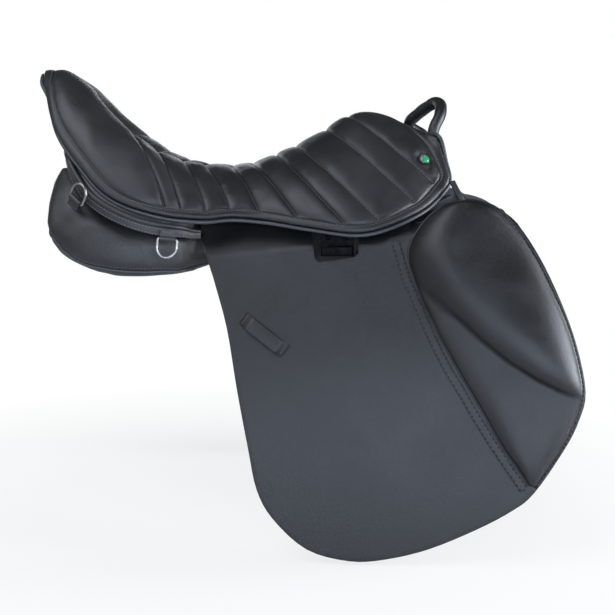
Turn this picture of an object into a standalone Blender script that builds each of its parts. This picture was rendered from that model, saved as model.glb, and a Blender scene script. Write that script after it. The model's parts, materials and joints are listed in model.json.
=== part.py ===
"""An English-pattern trekking saddle: quilted seat, panels, flaps with knee rolls, girth straps and rings.

Metres. +X points to the horse's head, +Y to its left, +Z up. The saddle is symmetric about Y = 0.
The origin lies in the middle of the horse's back, where the panels rest.
"""

from math import cos, exp, log, pi, radians, sin

import bmesh
import bpy
import numpy as np
from mathutils import Matrix, Vector

SIDES = (("right", -1), ("left", 1))

# Room between pieces
TOUCH = 0.0004
LAYER_ROOM = 0.0019

# Seat: sections from the cantle to the pommel, numbered from 0
# centre x, centre z, rim x, rim y, rim z, shoulder (how far the top stays level), centre valley
SEAT_SECTIONS = (
    (-0.2400, 0.2150, -0.2345, 0.0490, 0.1950, 0.50, 0.000),
    (-0.2150, 0.2150, -0.2115, 0.0955, 0.1465, 0.56, 0.001),
    (-0.1870, 0.1975, -0.1790, 0.1275, 0.1035, 0.60, 0.003),
    (-0.1780, 0.1840, -0.1575, 0.1415, 0.0800, 0.60, 0.004),
    (-0.1700, 0.1705, -0.1340, 0.1485, 0.0675, 0.60, 0.005),
    (-0.1620, 0.1585, -0.1105, 0.1525, 0.0605, 0.60, 0.006),
    (-0.1520, 0.1470, -0.0880, 0.1515, 0.0555, 0.60, 0.006),
    (-0.1180, 0.1265, -0.0710, 0.1475, 0.0535, 0.58, 0.006),
    (-0.0840, 0.1135, -0.0450, 0.1385, 0.0515, 0.55, 0.004),
    (-0.0580, 0.1080, -0.0190, 0.1295, 0.0535, 0.54, 0.003),
    (-0.0240, 0.1055, 0.0130, 0.1285, 0.0505, 0.55, 0.002),
    (0.0000, 0.1080, 0.0580, 0.1435, 0.0435, 0.57, 0.001),
    (0.0290, 0.1170, 0.1110, 0.1575, 0.0375, 0.58, 0.000),
    (0.0520, 0.1270, 0.1480, 0.1515, 0.0435, 0.59, 0.000),
    (0.0880, 0.1460, 0.1910, 0.1250, 0.0600, 0.60, 0.000),
    (0.1150, 0.1620, 0.2155, 0.1010, 0.0785, 0.56, 0.000),
    (0.1460, 0.1650, 0.2255, 0.0860, 0.0965, 0.52, 0.000),
    (0.1870, 0.1505, 0.2105, 0.0655, 0.1365, 0.52, 0.000),
)
FIRST_SEAM = 6
LAST_SEAM = 15
VALLEY_WIDTH = 0.030
REAR_SLANT = 0.15
FRONT_SLANT = 0.85
SLANT_STARTS = 8.0
SLANT_SPREAD = 4.5
SEAM_DEPTH = 0.0055
BORDER_WIDTH = 0.0095
GROOVE_WIDTH = 0.0036
GROOVE_DEPTH = 0.0030
RIB_START = 0.0180
ACROSS = (0, 0.30, 0.58, 0.80)
LEATHER = 0.0030
COVER_DEPTH = SEAM_DEPTH + LEATHER
FOAM_INSET = 0.0125
FOAM_EDGE = 0.0060
FOAM_THICKNESS = 0.0160
FOAM_FIRST = 0.60
FOAM_LAST = 15.60
TREE_INSET = 0.0200
TREE_THICKNESS = 0.0075
TREE_FIRST = 1.65
TREE_LAST = 14.90
PIPING_RADIUS = 0.0020
PIPING_ROOM = 0.0012

# Steel arch under the front of the tree
HEAD_PLATE_THICKNESS = 0.0030
HEAD_PLATE_FIRST = 14.0
HEAD_PLATE_LAST = 14.8
HEAD_PLATE_REACH = 0.72

# Leather that closes the back of the cantle and the front of the pommel
BACK_THICKNESS = 0.0030
BACK_INSET = 0.0135
BACK_BOTTOM = 0.112
BACK_FRONT_X = -0.1970
BACK_REACH = 0.0930
ARCH_HALF_WIDTH = 0.038
ARCH_TOP = 0.113
ARCH_TURN = radians(80)
FRONT_FIRST = 15.9
FRONT_INSET = 0.0145
FRONT_SET_BACK = 0.0005

# Bound strip that joins the panels to the cantle: x, half width y, z from one side's end to the back
FACING_PATH = (
    (-0.060, 0.1280, 0.0325),
    (-0.076, 0.1395, 0.0370),
    (-0.096, 0.1465, 0.0400),
    (-0.115, 0.1485, 0.0445),
    (-0.134, 0.1475, 0.0513),
    (-0.155, 0.1430, 0.0618),
    (-0.174, 0.1330, 0.0760),
    (-0.190, 0.1160, 0.0970),
    (-0.199, 0.0965, 0.1130),
    (-0.205, 0.0600, 0.1205),
    (-0.207, 0.0000, 0.1210),
)
FACING_HEIGHT = 0.0150
FACING_THICKNESS = 0.0032
FACING_ROLL = 0.0022

# Front facing strip, each side: x, half width y, z
FRONT_FACING_PATH = (
    (0.184, 0.1190, 0.041),
    (0.202, 0.1180, 0.047),
    (0.220, 0.1140, 0.056),
    (0.232, 0.1065, 0.067),
    (0.235, 0.0990, 0.075),
    (0.231, 0.0930, 0.081),
)
FRONT_FACING_HEIGHT = 0.0080
FRONT_FACING_TURN = radians(35)
NAIL_RADIUS = 0.0032

# Panels: x, inner y, outer y low down, outer y at the top, then the heights of the
# inner top, outer top, inner bottom and outer bottom
PANEL_SECTIONS = (
    (-0.2230, 0.092, 0.114, 0.100, 0.066, 0.062, 0.050, 0.044),
    (-0.2200, 0.070, 0.126, 0.094, 0.094, 0.084, 0.034, 0.022),
    (-0.2100, 0.058, 0.133, 0.082, 0.108, 0.106, 0.026, 0.004),
    (-0.1950, 0.050, 0.139, 0.105, 0.106, 0.096, 0.024, -0.009),
    (-0.1740, 0.044, 0.1435, 0.127, 0.094, 0.076, 0.022, -0.020),
    (-0.1450, 0.040, 0.1465, 0.141, 0.080, 0.055, 0.021, -0.028),
    (-0.1100, 0.038, 0.1460, 0.144, 0.068, 0.044, 0.020, -0.029),
    (-0.0780, 0.037, 0.1350, 0.134, 0.061, 0.038, 0.020, -0.027),
    (-0.0600, 0.037, 0.1170, 0.116, 0.058, 0.032, 0.020, -0.024),
    (-0.0350, 0.036, 0.0980, 0.097, 0.056, 0.028, 0.020, -0.016),
    (0.0000, 0.036, 0.0985, 0.097, 0.056, 0.028, 0.020, -0.012),
    (0.0500, 0.036, 0.1030, 0.102, 0.058, 0.028, 0.022, -0.008),
    (0.1000, 0.037, 0.1080, 0.107, 0.060, 0.029, 0.024, -0.006),
    (0.1500, 0.038, 0.1120, 0.111, 0.062, 0.035, 0.028, -0.002),
    (0.1950, 0.042, 0.1130, 0.112, 0.070, 0.052, 0.036, 0.008),
    (0.2220, 0.050, 0.1040, 0.104, 0.078, 0.070, 0.052, 0.034),
    (0.2320, 0.058, 0.0930, 0.093, 0.079, 0.076, 0.064, 0.056),
)
PANEL_SQUARENESS = 2.8
PANEL_SIDES = 16

# Lining over the channel between the panels
LINING_FIRST = -0.196
LINING_LAST = 0.196
LINING_HALF_WIDTH = 0.031
LINING_RISE = 0.006
LINING_THICKNESS = 0.0022

# Flap sheet: it hangs from a straight fold line, and swings out below it
FOLD_Y = 0.126
FOLD_PLAN_SLOPE = 0.095
FOLD_Z = 0.008
FOLD_CLIMB = 0.120
FLARE_OUT = 0.115
FLARE_DEPTH = 0.210
FOLD_SOFTNESS = 0.030
FLAP_THICKNESS = 0.0042
FLAP_REAR_X = -0.0455
FLAP_FRONT_X = 0.171
FLAP_HINGE_X = 0.050
# x, z of the flap's edge, from the front end of the fold line round to its rear end
FLAP_EDGE = (
    (0.175, 0.034),
    (0.193, 0.052),
    (0.211, 0.065),
    (0.230, 0.074),
    (0.249, 0.073),
    (0.270, 0.064),
    (0.290, 0.042),
    (0.310, 0.008),
    (0.328, -0.036),
    (0.341, -0.080),
    (0.347, -0.126),
    (0.339, -0.154),
    (0.324, -0.182),
    (0.293, -0.228),
    (0.272, -0.247),
    (0.239, -0.269),
    (0.189, -0.291),
    (0.144, -0.303),
    (0.106, -0.306),
    (0.061, -0.295),
    (0.025, -0.264),
    (0.008, -0.234),
    (-0.001, -0.192),
    (-0.013, -0.131),
    (-0.024, -0.069),
    (-0.039, -0.017),
)
FLAP_CELL = 0.036
# Notch in the top of the flap, where the stirrup bar shows
NOTCH_REAR_X = 0.072
NOTCH_FRONT_X = 0.119
NOTCH_DEPTH = 0.0150
ROOT_THICKNESS = 0.0035
ROOT_ROOM = 0.0030
ROOT_LEAN = 0.0120

# Knee roll: x, z of its rear edge and of its front edge, from the top down
ROLL_REAR = (
    (0.232, 0.071),
    (0.212, 0.066),
    (0.195, 0.053),
    (0.182, 0.037),
    (0.176, 0.020),
    (0.173, 0.001),
    (0.181, -0.022),
    (0.193, -0.047),
    (0.204, -0.071),
    (0.224, -0.108),
    (0.243, -0.145),
    (0.261, -0.177),
    (0.279, -0.201),
    (0.291, -0.220),
)
ROLL_FRONT = (
    (0.236, 0.071),
    (0.250, 0.069),
    (0.268, 0.060),
    (0.287, 0.039),
    (0.298, 0.021),
    (0.307, 0.005),
    (0.318, -0.021),
    (0.327, -0.043),
    (0.335, -0.070),
    (0.342, -0.105),
    (0.343, -0.127),
    (0.335, -0.153),
    (0.320, -0.181),
    (0.294, -0.221),
)
# Lower edge of the thick upper part of the roll: x, z
ROLL_CREASE = ((0.170, -0.010), (0.215, -0.045), (0.278, -0.088), (0.350, -0.132))
ROLL_UPPER = 0.031
ROLL_TOP = 0.017
ROLL_TAPER_STARTS = 0.035
ROLL_TAPER = 0.110
ROLL_LOWER = 0.012
ROLL_STEP = 0.022
ROLL_LEAST = 0.0025
ROLL_ROOM = 0.0012

# Leather loop on the flap that holds the stirrup leather's end
KEEPER_X = 0.016
KEEPER_Z = -0.0725
KEEPER_LENGTH = 0.056
KEEPER_WIDTH = 0.0152
KEEPER_THICKNESS = 0.0022
KEEPER_ARCH = 0.0076
KEEPER_SLOPE = radians(-36)

# Sheets under the flap
SWEAT_ROOM = 0.0165
SWEAT_TUCK = 0.0090
SWEAT_TUCK_DEPTH = 0.025
SWEAT_THICKNESS = 0.0026
# x, z of the sweat flap's edge, from the rear top round to the front top
SWEAT_EDGE = (
    (-0.028, 0.002),
    (-0.012, -0.050),
    (0.002, -0.120),
    (0.016, -0.190),
    (0.028, -0.234),
    (0.060, -0.268),
    (0.110, -0.284),
    (0.180, -0.272),
    (0.240, -0.246),
    (0.272, -0.214),
    (0.262, -0.160),
    (0.240, -0.100),
    (0.220, -0.040),
    (0.206, 0.016),
)

# Girth straps
BILLET_X = (0.034, 0.094)
BILLET_NAMES = ("rear", "front")
BILLET_WIDTH = 0.026
BILLET_THICKNESS = 0.0038
BILLET_ROOM = 0.0098
BILLET_TOP = -0.006
BILLET_BOTTOM = -0.252
BILLET_POINT = 0.012
WEB_REAR_X = 0.012
WEB_FRONT_X = 0.117
WEB_THICKNESS = 0.0024
WEB_TOP_Z = 0.036
WEB_TOP_Y = 0.0900

# Stirrup bar
BAR_REAR_X = 0.085
BAR_FRONT_X = 0.1135
BAR_Z = 0.0150
BAR_HEIGHT = 0.0105
BAR_THICKNESS = 0.0058
BAR_SLOT = 0.0066
BAR_ROOT_WIDTH = 0.0080
PLATE_THICKNESS = 0.0028
PLATE_REAR_X = 0.0785
PLATE_FRONT_X = 0.1150
PLATE_TOP_Z = 0.034
PLATE_BOTTOM_Z = 0.0085
PLATE_Y = 0.1288
RIVET_RADIUS = 0.0030
RIVET_HEAD = 0.0018
RIVET_Z = 0.0290
CATCH_LENGTH = 0.0105
CATCH_HEIGHT = 0.0090
CATCH_THICKNESS = 0.0026
CATCH_PIVOT = 0.0045
PIN_RADIUS = 0.0022
PIN_HEAD = 0.0012

# Rings for tying on luggage
RING_WIRE = 0.0016
RING_WIDTH = 0.0242
RING_DEPTH = 0.0215
RING_STEPS = 12
# middle of the ring's bar, direction of the bar, direction of the bow, each for the +Y side
RINGS = (
    ("upper", (-0.1870, 0.1335, 0.0700), (0.67, 0.50, -0.55), (0.36, 0.30, 0.87)),
    ("lower", (-0.0870, 0.1555, 0.0300), (1.00, -0.12, -0.12), (0.02, 0.10, -1.00)),
)
TAB_LENGTH = 0.0170
TAB_WALL = 0.0016
TAB_TONGUE = 0.0060

# Carrying handle over the pommel: x, y, z from its foot on the -Y side. It leans as soft leather does
HANDLE_PATH = (
    (0.2120, -0.0370, 0.1300),
    (0.2120, -0.0370, 0.1410),
    (0.2145, -0.0350, 0.1500),
    (0.2205, -0.0290, 0.1610),
    (0.2235, -0.0150, 0.1715),
    (0.2190, 0.0000, 0.1760),
    (0.2090, 0.0160, 0.1725),
    (0.2010, 0.0255, 0.1665),
    (0.1970, 0.0330, 0.1610),
    (0.2000, 0.0378, 0.1555),
    (0.2075, 0.0385, 0.1500),
    (0.2120, 0.0370, 0.1420),
    (0.2120, 0.0370, 0.1300),
)
HANDLE_RADIUS = 0.0074
HANDLE_CAP = 0.0060

# Studs in the pommel's sides
STUD_SECTION = 15.55
STUD_ALONG = 0.765
STUD_RADIUS = 0.0060
STUD_RIM = 0.0014
STUD_HEIGHT = 0.0022

COLOURS = {
    "seat_leather": ((0.022, 0.022, 0.025), 0.42, 0.0),
    "flap_leather": ((0.030, 0.031, 0.034), 0.50, 0.0),
    "panel_leather": ((0.026, 0.025, 0.026), 0.46, 0.0),
    "strap_leather": ((0.035, 0.028, 0.024), 0.55, 0.0),
    "foam": ((0.05, 0.05, 0.052), 0.90, 0.0),
    "tree_plastic": ((0.045, 0.045, 0.048), 0.55, 0.0),
    "steel": ((0.55, 0.55, 0.56), 0.30, 1.0),
    "webbing": ((0.03, 0.03, 0.032), 0.85, 0.0),
    "green_enamel": ((0.06, 0.50, 0.24), 0.25, 0.0),
}


def material(name):
    """A Principled material of this name, made once."""
    if name in bpy.data.materials:
        return bpy.data.materials[name]
    colour, roughness, metallic = COLOURS[name]
    made = bpy.data.materials.new(name)
    made.use_nodes = True
    shader = made.node_tree.nodes["Principled BSDF"]
    shader.inputs["Base Color"].default_value = (*colour, 1.0)
    shader.inputs["Roughness"].default_value = roughness
    shader.inputs["Metallic"].default_value = metallic
    return made


def add_mesh(name, points, faces, finish, sharp=40):
    """A closed mesh object whose faces point out, shaded smooth up to the given angle."""
    mesh = bpy.data.meshes.new(name)
    mesh.from_pydata([tuple(point) for point in points], [], faces)
    shape = bmesh.new()
    shape.from_mesh(mesh)
    bmesh.ops.recalc_face_normals(shape, faces=shape.faces)
    shape.to_mesh(mesh)
    shape.free()
    mesh.shade_smooth()
    mesh.set_sharp_from_angle(angle=radians(sharp))
    mesh.materials.append(material(finish))
    made = bpy.data.objects.new(name, mesh)
    bpy.context.scene.collection.objects.link(made)
    return made


def curve_through(points, per_span):
    """Points on a smooth curve through the given ones."""
    points = [np.array(point, dtype=float) for point in points]
    ends = [2 * points[0] - points[1], *points, 2 * points[-1] - points[-2]]
    found = []
    for before, start, end, after in zip(ends, ends[1:], ends[2:], ends[3:]):
        for step in range(per_span):
            u = step / per_span
            found.append(
                0.5
                * (
                    2 * start
                    + (end - before) * u
                    + (2 * before - 5 * start + 4 * end - after) * u**2
                    + (3 * start - before - 3 * end + after) * u**3
                )
            )
    found.append(points[-1])
    return found


def smooth_step(value):
    """0 below 0, 1 above 1, and an even slope between."""
    value = min(max(value, 0.0), 1.0)
    return value * value * (3 - 2 * value)


def smoothed(directions, passes):
    """A grid of directions, each one evened out with its neighbours."""
    for _ in range(passes):
        wide = np.pad(directions, ((1, 1), (1, 1), (0, 0)), mode="edge")
        along = wide[:-2, 1:-1] + wide[2:, 1:-1]
        sideways = wide[1:-1, :-2] + wide[1:-1, 2:]
        directions = 2 * wide[1:-1, 1:-1] + along + sideways
        directions /= np.linalg.norm(directions, axis=2, keepdims=True)
    return directions


def grid_solid(name, outer, inner, finish, sharp=40):
    """A closed body between two grids of points that lie face to face."""
    outer = np.array(outer)
    inner = np.array(inner)
    rows, columns = outer.shape[:2]
    points = [*outer.reshape(-1, 3), *inner.reshape(-1, 3)]
    half = rows * columns
    faces = []
    for row in range(rows - 1):
        for column in range(columns - 1):
            first = row * columns + column
            quad = (first, first + 1, first + columns + 1, first + columns)
            for corners in ((quad[0], quad[1], quad[2]), (quad[0], quad[2], quad[3])):
                faces.append(corners)
                faces.append(tuple(corner + half for corner in reversed(corners)))
    edge = [column for column in range(columns)]
    edge += [row * columns + columns - 1 for row in range(1, rows)]
    edge += [(rows - 1) * columns + column for column in reversed(range(columns - 1))]
    edge += [row * columns for row in reversed(range(1, rows - 1))]
    for one, two in zip(edge, edge[1:] + edge[:1]):
        faces.append((one, one + half, two + half, two))
    return add_mesh(name, points, faces, finish, sharp)


def sweep(name, path, outwards, profile, finish, sharp=40):
    """A bar of one profile along a path. The profile's x points outwards and its y up from the path."""
    path = [Vector(point) for point in path]
    points = []
    for index, (place, outward) in enumerate(zip(path, outwards)):
        along = path[min(index + 1, len(path) - 1)] - path[max(index - 1, 0)]
        along.normalize()
        outward = Vector(outward)
        outward = (outward - outward.dot(along) * along).normalized()
        upward = outward.cross(along)
        if upward.z < 0:
            upward.negate()
        points += [place + x * outward + y * upward for x, y in profile]
    sides = len(profile)
    faces = []
    for index in range(len(path) - 1):
        for side in range(sides):
            following = (side + 1) % sides
            base = index * sides
            faces.append((base + side, base + following, base + sides + following, base + sides + side))
    faces.append(tuple(reversed(range(sides))))
    faces.append(tuple(range((len(path) - 1) * sides, len(path) * sides)))
    return add_mesh(name, points, faces, finish, sharp)


def tube(name, path, radius, finish, closed=False, sides=8):
    """A round cord or wire along a path."""
    path = [Vector(point) for point in path]
    count = len(path)
    turn = None
    points = []
    for index, place in enumerate(path):
        before = path[index - 1] if closed or index else place
        after = path[(index + 1) % count] if closed or index < count - 1 else place
        along = (after - before).normalized()
        if turn is None:
            turn = along.orthogonal().normalized()
        turn = (turn - turn.dot(along) * along).normalized()
        other = along.cross(turn)
        for side in range(sides):
            angle = 2 * pi * side / sides
            points.append(place + radius * (cos(angle) * turn + sin(angle) * other))
    faces = []
    shift = 0
    if closed:
        start = Vector(points[0]) - path[0]
        ends = [(start - (points[(count - 1) * sides + side] - path[-1])).length for side in range(sides)]
        shift = ends.index(min(ends))
    for index in range(count if closed else count - 1):
        low = index * sides
        high = (index + 1) % count * sides
        skip = shift if index == count - 1 else 0
        for side in range(sides):
            following = (side + 1) % sides
            faces.append(
                (
                    low + (side + skip) % sides,
                    low + (following + skip) % sides,
                    high + following,
                    high + side,
                )
            )
    if not closed:
        faces.append(tuple(reversed(range(sides))))
        faces.append(tuple(range((count - 1) * sides, count * sides)))
    return add_mesh(name, points, faces, finish, 60)


def turned(name, centre, axis, profile, finish, sides=12):
    """A round piece turned about an axis. The profile lists radius and height, from axis to axis."""
    turn = Vector(axis).to_track_quat("Z", "Y").to_matrix()
    points = []
    rings = []
    for radius, height in profile:
        steps = 1 if radius == 0 else sides
        ring = []
        for step in range(steps):
            angle = 2 * pi * step / sides
            ring.append(len(points))
            spoke = Vector((radius * cos(angle), radius * sin(angle), height))
            points.append(Vector(centre) + turn @ spoke)
        rings.append(ring)
    faces = []
    for low, high in zip(rings, rings[1:]):
        for step in range(sides):
            following = (step + 1) % sides
            below = (low[step % len(low)], low[following % len(low)])
            above = (high[following % len(high)], high[step % len(high)])
            corners = below + above
            faces.append(tuple(dict.fromkeys(corners)))
    return add_mesh(name, points, faces, finish)


def hang(pieces, pivot):
    """Put the origin of a moving body on its joint's axis. Its first piece carries the others."""
    pivot = Vector(pivot)
    for piece in pieces:
        piece.data.transform(Matrix.Translation(-pivot))
    pieces[0].location = pivot
    for piece in pieces[1:]:
        piece.parent = pieces[0]


def extruded(name, outline, to_space, depth, finish):
    """A flat outline given a thickness. to_space turns (x, y, depth) into a place."""
    points = [to_space(x, y, 0.0) for x, y in outline]
    points += [to_space(x, y, depth) for x, y in outline]
    sides = len(outline)
    faces = [tuple(range(sides)), tuple(reversed(range(sides, 2 * sides)))]
    for side in range(sides):
        following = (side + 1) % sides
        faces.append((side, side + sides, following + sides, following))
    return add_mesh(name, points, faces, finish, 30)


class Seat:
    """The surface that every layer of the seat follows, at the level of the ribs' tops."""

    steps = 48

    def __init__(self):
        self.table = np.array(SEAT_SECTIONS)
        self.last = len(SEAT_SECTIONS) - 1
        self.rim = self.rim_points()

    def section(self, station):
        """The seat's values at a station between sections."""
        start = min(int(station), self.last - 1)
        u = station - start
        rows = [self.table[min(max(start + shift, 0), self.last)] for shift in (-1, 0, 1, 2)]
        if start == 0:
            rows[0] = 2 * rows[1] - rows[2]
        if start == self.last - 1:
            rows[3] = 2 * rows[2] - rows[1]
        before, one, two, after = rows
        return 0.5 * (
            2 * one
            + (two - before) * u
            + (2 * before - 5 * one + 4 * two - after) * u**2
            + (3 * one - before - 3 * two + after) * u**3
        )

    def slant(self, station):
        """How far a section line runs forward with its drop, and not with its width."""
        front = smooth_step((station - SLANT_STARTS) / SLANT_SPREAD)
        slant = REAR_SLANT + (FRONT_SLANT - REAR_SLANT) * front
        return slant * smooth_step((station - 4) / 3) * smooth_step((self.last - station) / 1.2)

    def line(self, station):
        """Points from the centre to the rim at a station, and their distances from the centre."""
        centre_x, centre_z, rim_x, rim_y, rim_z, shoulder, valley = self.section(station)
        u = np.linspace(0, 1, self.steps)
        weights = np.array([(1 - u) ** 3, 3 * u * (1 - u) ** 2, 3 * u**2 * (1 - u), u**3])
        lean = 0.25 * (1 - shoulder)
        rise = 0.8 * shoulder * (centre_z - rim_z)
        y = np.array([0, shoulder * rim_y, (1 - lean) * rim_y, rim_y]) @ weights
        z = np.array([centre_z, centre_z, rim_z + rise, rim_z]) @ weights
        slant = self.slant(station)
        advance = (1 - slant) * (y / rim_y) ** (1 + max(0.0, station - self.last + 1))
        advance = advance + slant * (centre_z - z) / (centre_z - rim_z)
        x = centre_x + (rim_x - centre_x) * advance
        z = z - valley * np.exp(-((y / VALLEY_WIDTH) ** 2))
        line = np.stack([x, y, z], axis=1)
        lengths = np.concatenate([[0], np.cumsum(np.linalg.norm(np.diff(line, axis=0), axis=1))])
        return line, lengths

    def place(self, station, share):
        """A point on the surface. share runs from 0 at the centre to 1 at the rim, and below 0 at -Y."""
        line, lengths = self.line(station)
        distance = abs(share) * lengths[-1]
        found = np.array([np.interp(distance, lengths, line[:, axis]) for axis in range(3)])
        if share < 0:
            found[1] = -found[1]
        return found

    def normal(self, station, share):
        """The direction out of the surface."""
        step = 0.4
        low = max(station - step, 0)
        high = min(station + step, self.last)
        along = self.place(high, share) - self.place(low, share)
        left = min(share + step / 3, 1)
        right = max(share - step / 3, -1)
        across = self.place(station, left) - self.place(station, right)
        out = np.cross(along, across)
        return out / np.linalg.norm(out)

    def rim_points(self):
        """Points round the whole rim, for measuring distances to it."""
        side = [self.place(station, 1.0) for station in np.linspace(0, self.last, 141)]
        front = [self.place(self.last, share) for share in np.linspace(1, -1, 25)]
        back = [self.place(0, share) for share in np.linspace(-1, 1, 25)]
        mirror = [point * (1, -1, 1) for point in reversed(side)]
        return np.array([*side, *front, *mirror, *back])

    def from_rim(self, point):
        """The distance from a point to the rim."""
        return np.linalg.norm(self.rim - point, axis=1).min()

    def quilting(self, station, point):
        """How far the cover lies below the ribs' tops, at its seams and at the border's groove."""
        distance = self.from_rim(point)
        middle = BORDER_WIDTH + GROOVE_WIDTH / 2
        groove = GROOVE_DEPTH * max(0.0, 1 - abs(distance - middle) / (GROOVE_WIDTH / 2 + 0.0005))
        nearest = round(station)
        seam = 0.0
        if FIRST_SEAM <= nearest <= LAST_SEAM and abs(station - nearest) < 0.1:
            seam = SEAM_DEPTH * smooth_step((distance - BORDER_WIDTH) / (RIB_START - BORDER_WIDTH))
        return max(groove, seam)

    def columns(self, station, edges):
        """Shares across the seat: common ones inside, and lines at the given distances from the rim."""
        length = self.line(station)[1][-1]
        inner = [share * (1 - RIB_START / length) for share in ACROSS]
        return both_ways(inner + [1 - edge / length for edge in edges])

    def layer(self, stations, inset, depth, reach=1.0):
        """A grid of points under the surface, at a depth that may change with the distance from the rim."""
        rows = []
        for station in stations:
            row = []
            for share in self.columns(station, (inset,)):
                point = self.place(station, reach * share)
                below = depth(point) if callable(depth) else depth
                row.append(point - below * self.normal(station, reach * share))
            rows.append(row)
        return np.array(rows)


def both_ways(shares):
    """The shares on one side of the centre, then those on the other."""
    return [-share for share in reversed(shares)] + [share for share in shares if share > 0]


def cover_stations():
    """Where the cover has rows of points, closer at its grooves and seams."""
    stations = [0, 0.40, 0.47, 0.75, 1, 1.5, 2, 3, 4, 5]
    for section in range(FIRST_SEAM, LAST_SEAM):
        stations += [section, section + 1 / 3, section + 2 / 3]
    return stations + [LAST_SEAM, 15.35, 15.7, 16, 16.3, 16.6, 16.74, 16.78, 17]


def cover_grid(seat):
    """The cover's stations, its points at the ribs' tops, and the directions out of it."""
    edges = (RIB_START, BORDER_WIDTH + GROOVE_WIDTH / 2, BORDER_WIDTH, 0.0)
    rows = [(station, seat.columns(station, edges)) for station in cover_stations()]
    points = np.array([[seat.place(station, share) for share in shares] for station, shares in rows])
    outs = np.array([[seat.normal(station, share) for share in shares] for station, shares in rows])
    return points, smoothed(outs, 4)


def seat_cover(seat):
    """Quilted leather cover with its flat border."""
    points, outs = cover_grid(seat)
    top = points.copy()
    for row, station in enumerate(cover_stations()):
        for column, point in enumerate(points[row]):
            top[row, column] -= seat.quilting(station, point) * outs[row, column]
    grid_solid("seat_cover", top, points - COVER_DEPTH * outs, "seat_leather", 60)


def layer_stations(first, last):
    """Rows of the layers under the cover."""
    return [first] + [row for row in range(1, 18) if first + 0.2 < row < last - 0.2] + [last]


def seat_inside(seat):
    """Foam, the moulded tree under it and the steel arch under the tree's front."""
    foam_top = COVER_DEPTH + LAYER_ROOM

    def foam_bottom(point):
        distance = seat.from_rim(point) - FOAM_INSET
        return foam_top + FOAM_EDGE + (FOAM_THICKNESS - FOAM_EDGE) * smooth_step(distance / 0.018)

    stations = layer_stations(FOAM_FIRST, FOAM_LAST)
    grid_solid(
        "seat_foam",
        seat.layer(stations, FOAM_INSET, foam_top),
        seat.layer(stations, FOAM_INSET, foam_bottom),
        "foam",
    )
    tree_top = foam_top + FOAM_THICKNESS + LAYER_ROOM
    stations = layer_stations(TREE_FIRST, TREE_LAST)
    grid_solid(
        "tree",
        seat.layer(stations, TREE_INSET, tree_top),
        seat.layer(stations, TREE_INSET, tree_top + TREE_THICKNESS),
        "tree_plastic",
    )
    plate_top = tree_top + TREE_THICKNESS + 2 * LAYER_ROOM
    stations = np.linspace(HEAD_PLATE_FIRST, HEAD_PLATE_LAST, 3)
    grid_solid(
        "head_plate",
        seat.layer(stations, TREE_INSET, plate_top, HEAD_PLATE_REACH),
        seat.layer(stations, TREE_INSET, plate_top + HEAD_PLATE_THICKNESS, HEAD_PLATE_REACH),
        "steel",
    )


def tree_edge(seat, side_x):
    """The lower outer corner of the tree at an x, as y and z."""
    depth = COVER_DEPTH + FOAM_THICKNESS + TREE_THICKNESS + 2 * LAYER_ROOM
    corners = []
    for station in np.linspace(TREE_FIRST, TREE_LAST, 60):
        share = 1 - TREE_INSET / seat.line(station)[1][-1]
        corners.append(seat.place(station, share) - depth * seat.normal(station, share))
    corners = np.array(corners)
    order = corners[:, 0].argsort()
    return [np.interp(side_x, corners[order, 0], corners[order, axis]) for axis in (1, 2)]


def seat_piping(seat):
    """Round leather piping along the lower edge of the seat's rim."""
    grids = cover_grid(seat)
    rim, outs = ([*grid[:, -1], *grid[-1, -2::-1], *grid[-2::-1, 0], *grid[0, 1:-1]] for grid in grids)
    path = []
    for index, (place, out) in enumerate(zip(rim, outs)):
        before = place - rim[index - 1]
        after = rim[(index + 1) % len(rim)] - place
        sideways = [np.cross(out, along / np.linalg.norm(along)) for along in (before, after)]
        outward = sideways[0] + sideways[1]
        outward *= 2 / outward.dot(outward)
        middle = place + (PIPING_RADIUS + PIPING_ROOM) * outward
        path.append(middle - (COVER_DEPTH - PIPING_RADIUS) * out)
    tube("seat_piping", path, PIPING_RADIUS, "seat_leather", closed=True, sides=6)


def cantle_back(seat):
    """Leather that closes the back of the cantle, inside the rim."""
    rim = seat.rim[seat.rim[:, 1] >= 0]
    rear = rim[(rim[:, 0] < -0.15) & (rim[:, 2] > BACK_BOTTOM - 0.02)]
    order = rear[:, 2].argsort()
    rear = rear[order]
    top = rear[-1, 2] - BACK_INSET
    outer = []
    inner = []
    for height in np.linspace(BACK_BOTTOM, top, 9):
        reach = np.interp(height + 0.35 * BACK_INSET, rear[:, 2], rear[:, 1]) - BACK_INSET
        reach = min(max(reach, 0.012), BACK_REACH)
        x = min(np.interp(height, rear[:, 2], rear[:, 0]) + BACK_THICKNESS, BACK_FRONT_X)
        row = [(x, share * reach, height) for share in (-1, -0.6, -0.25, 0.25, 0.6, 1)]
        outer.append(row)
        inner.append([(x + BACK_THICKNESS, y, z) for x, y, z in row])
    grid_solid("cantle_back", outer, inner, "flap_leather")


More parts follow.
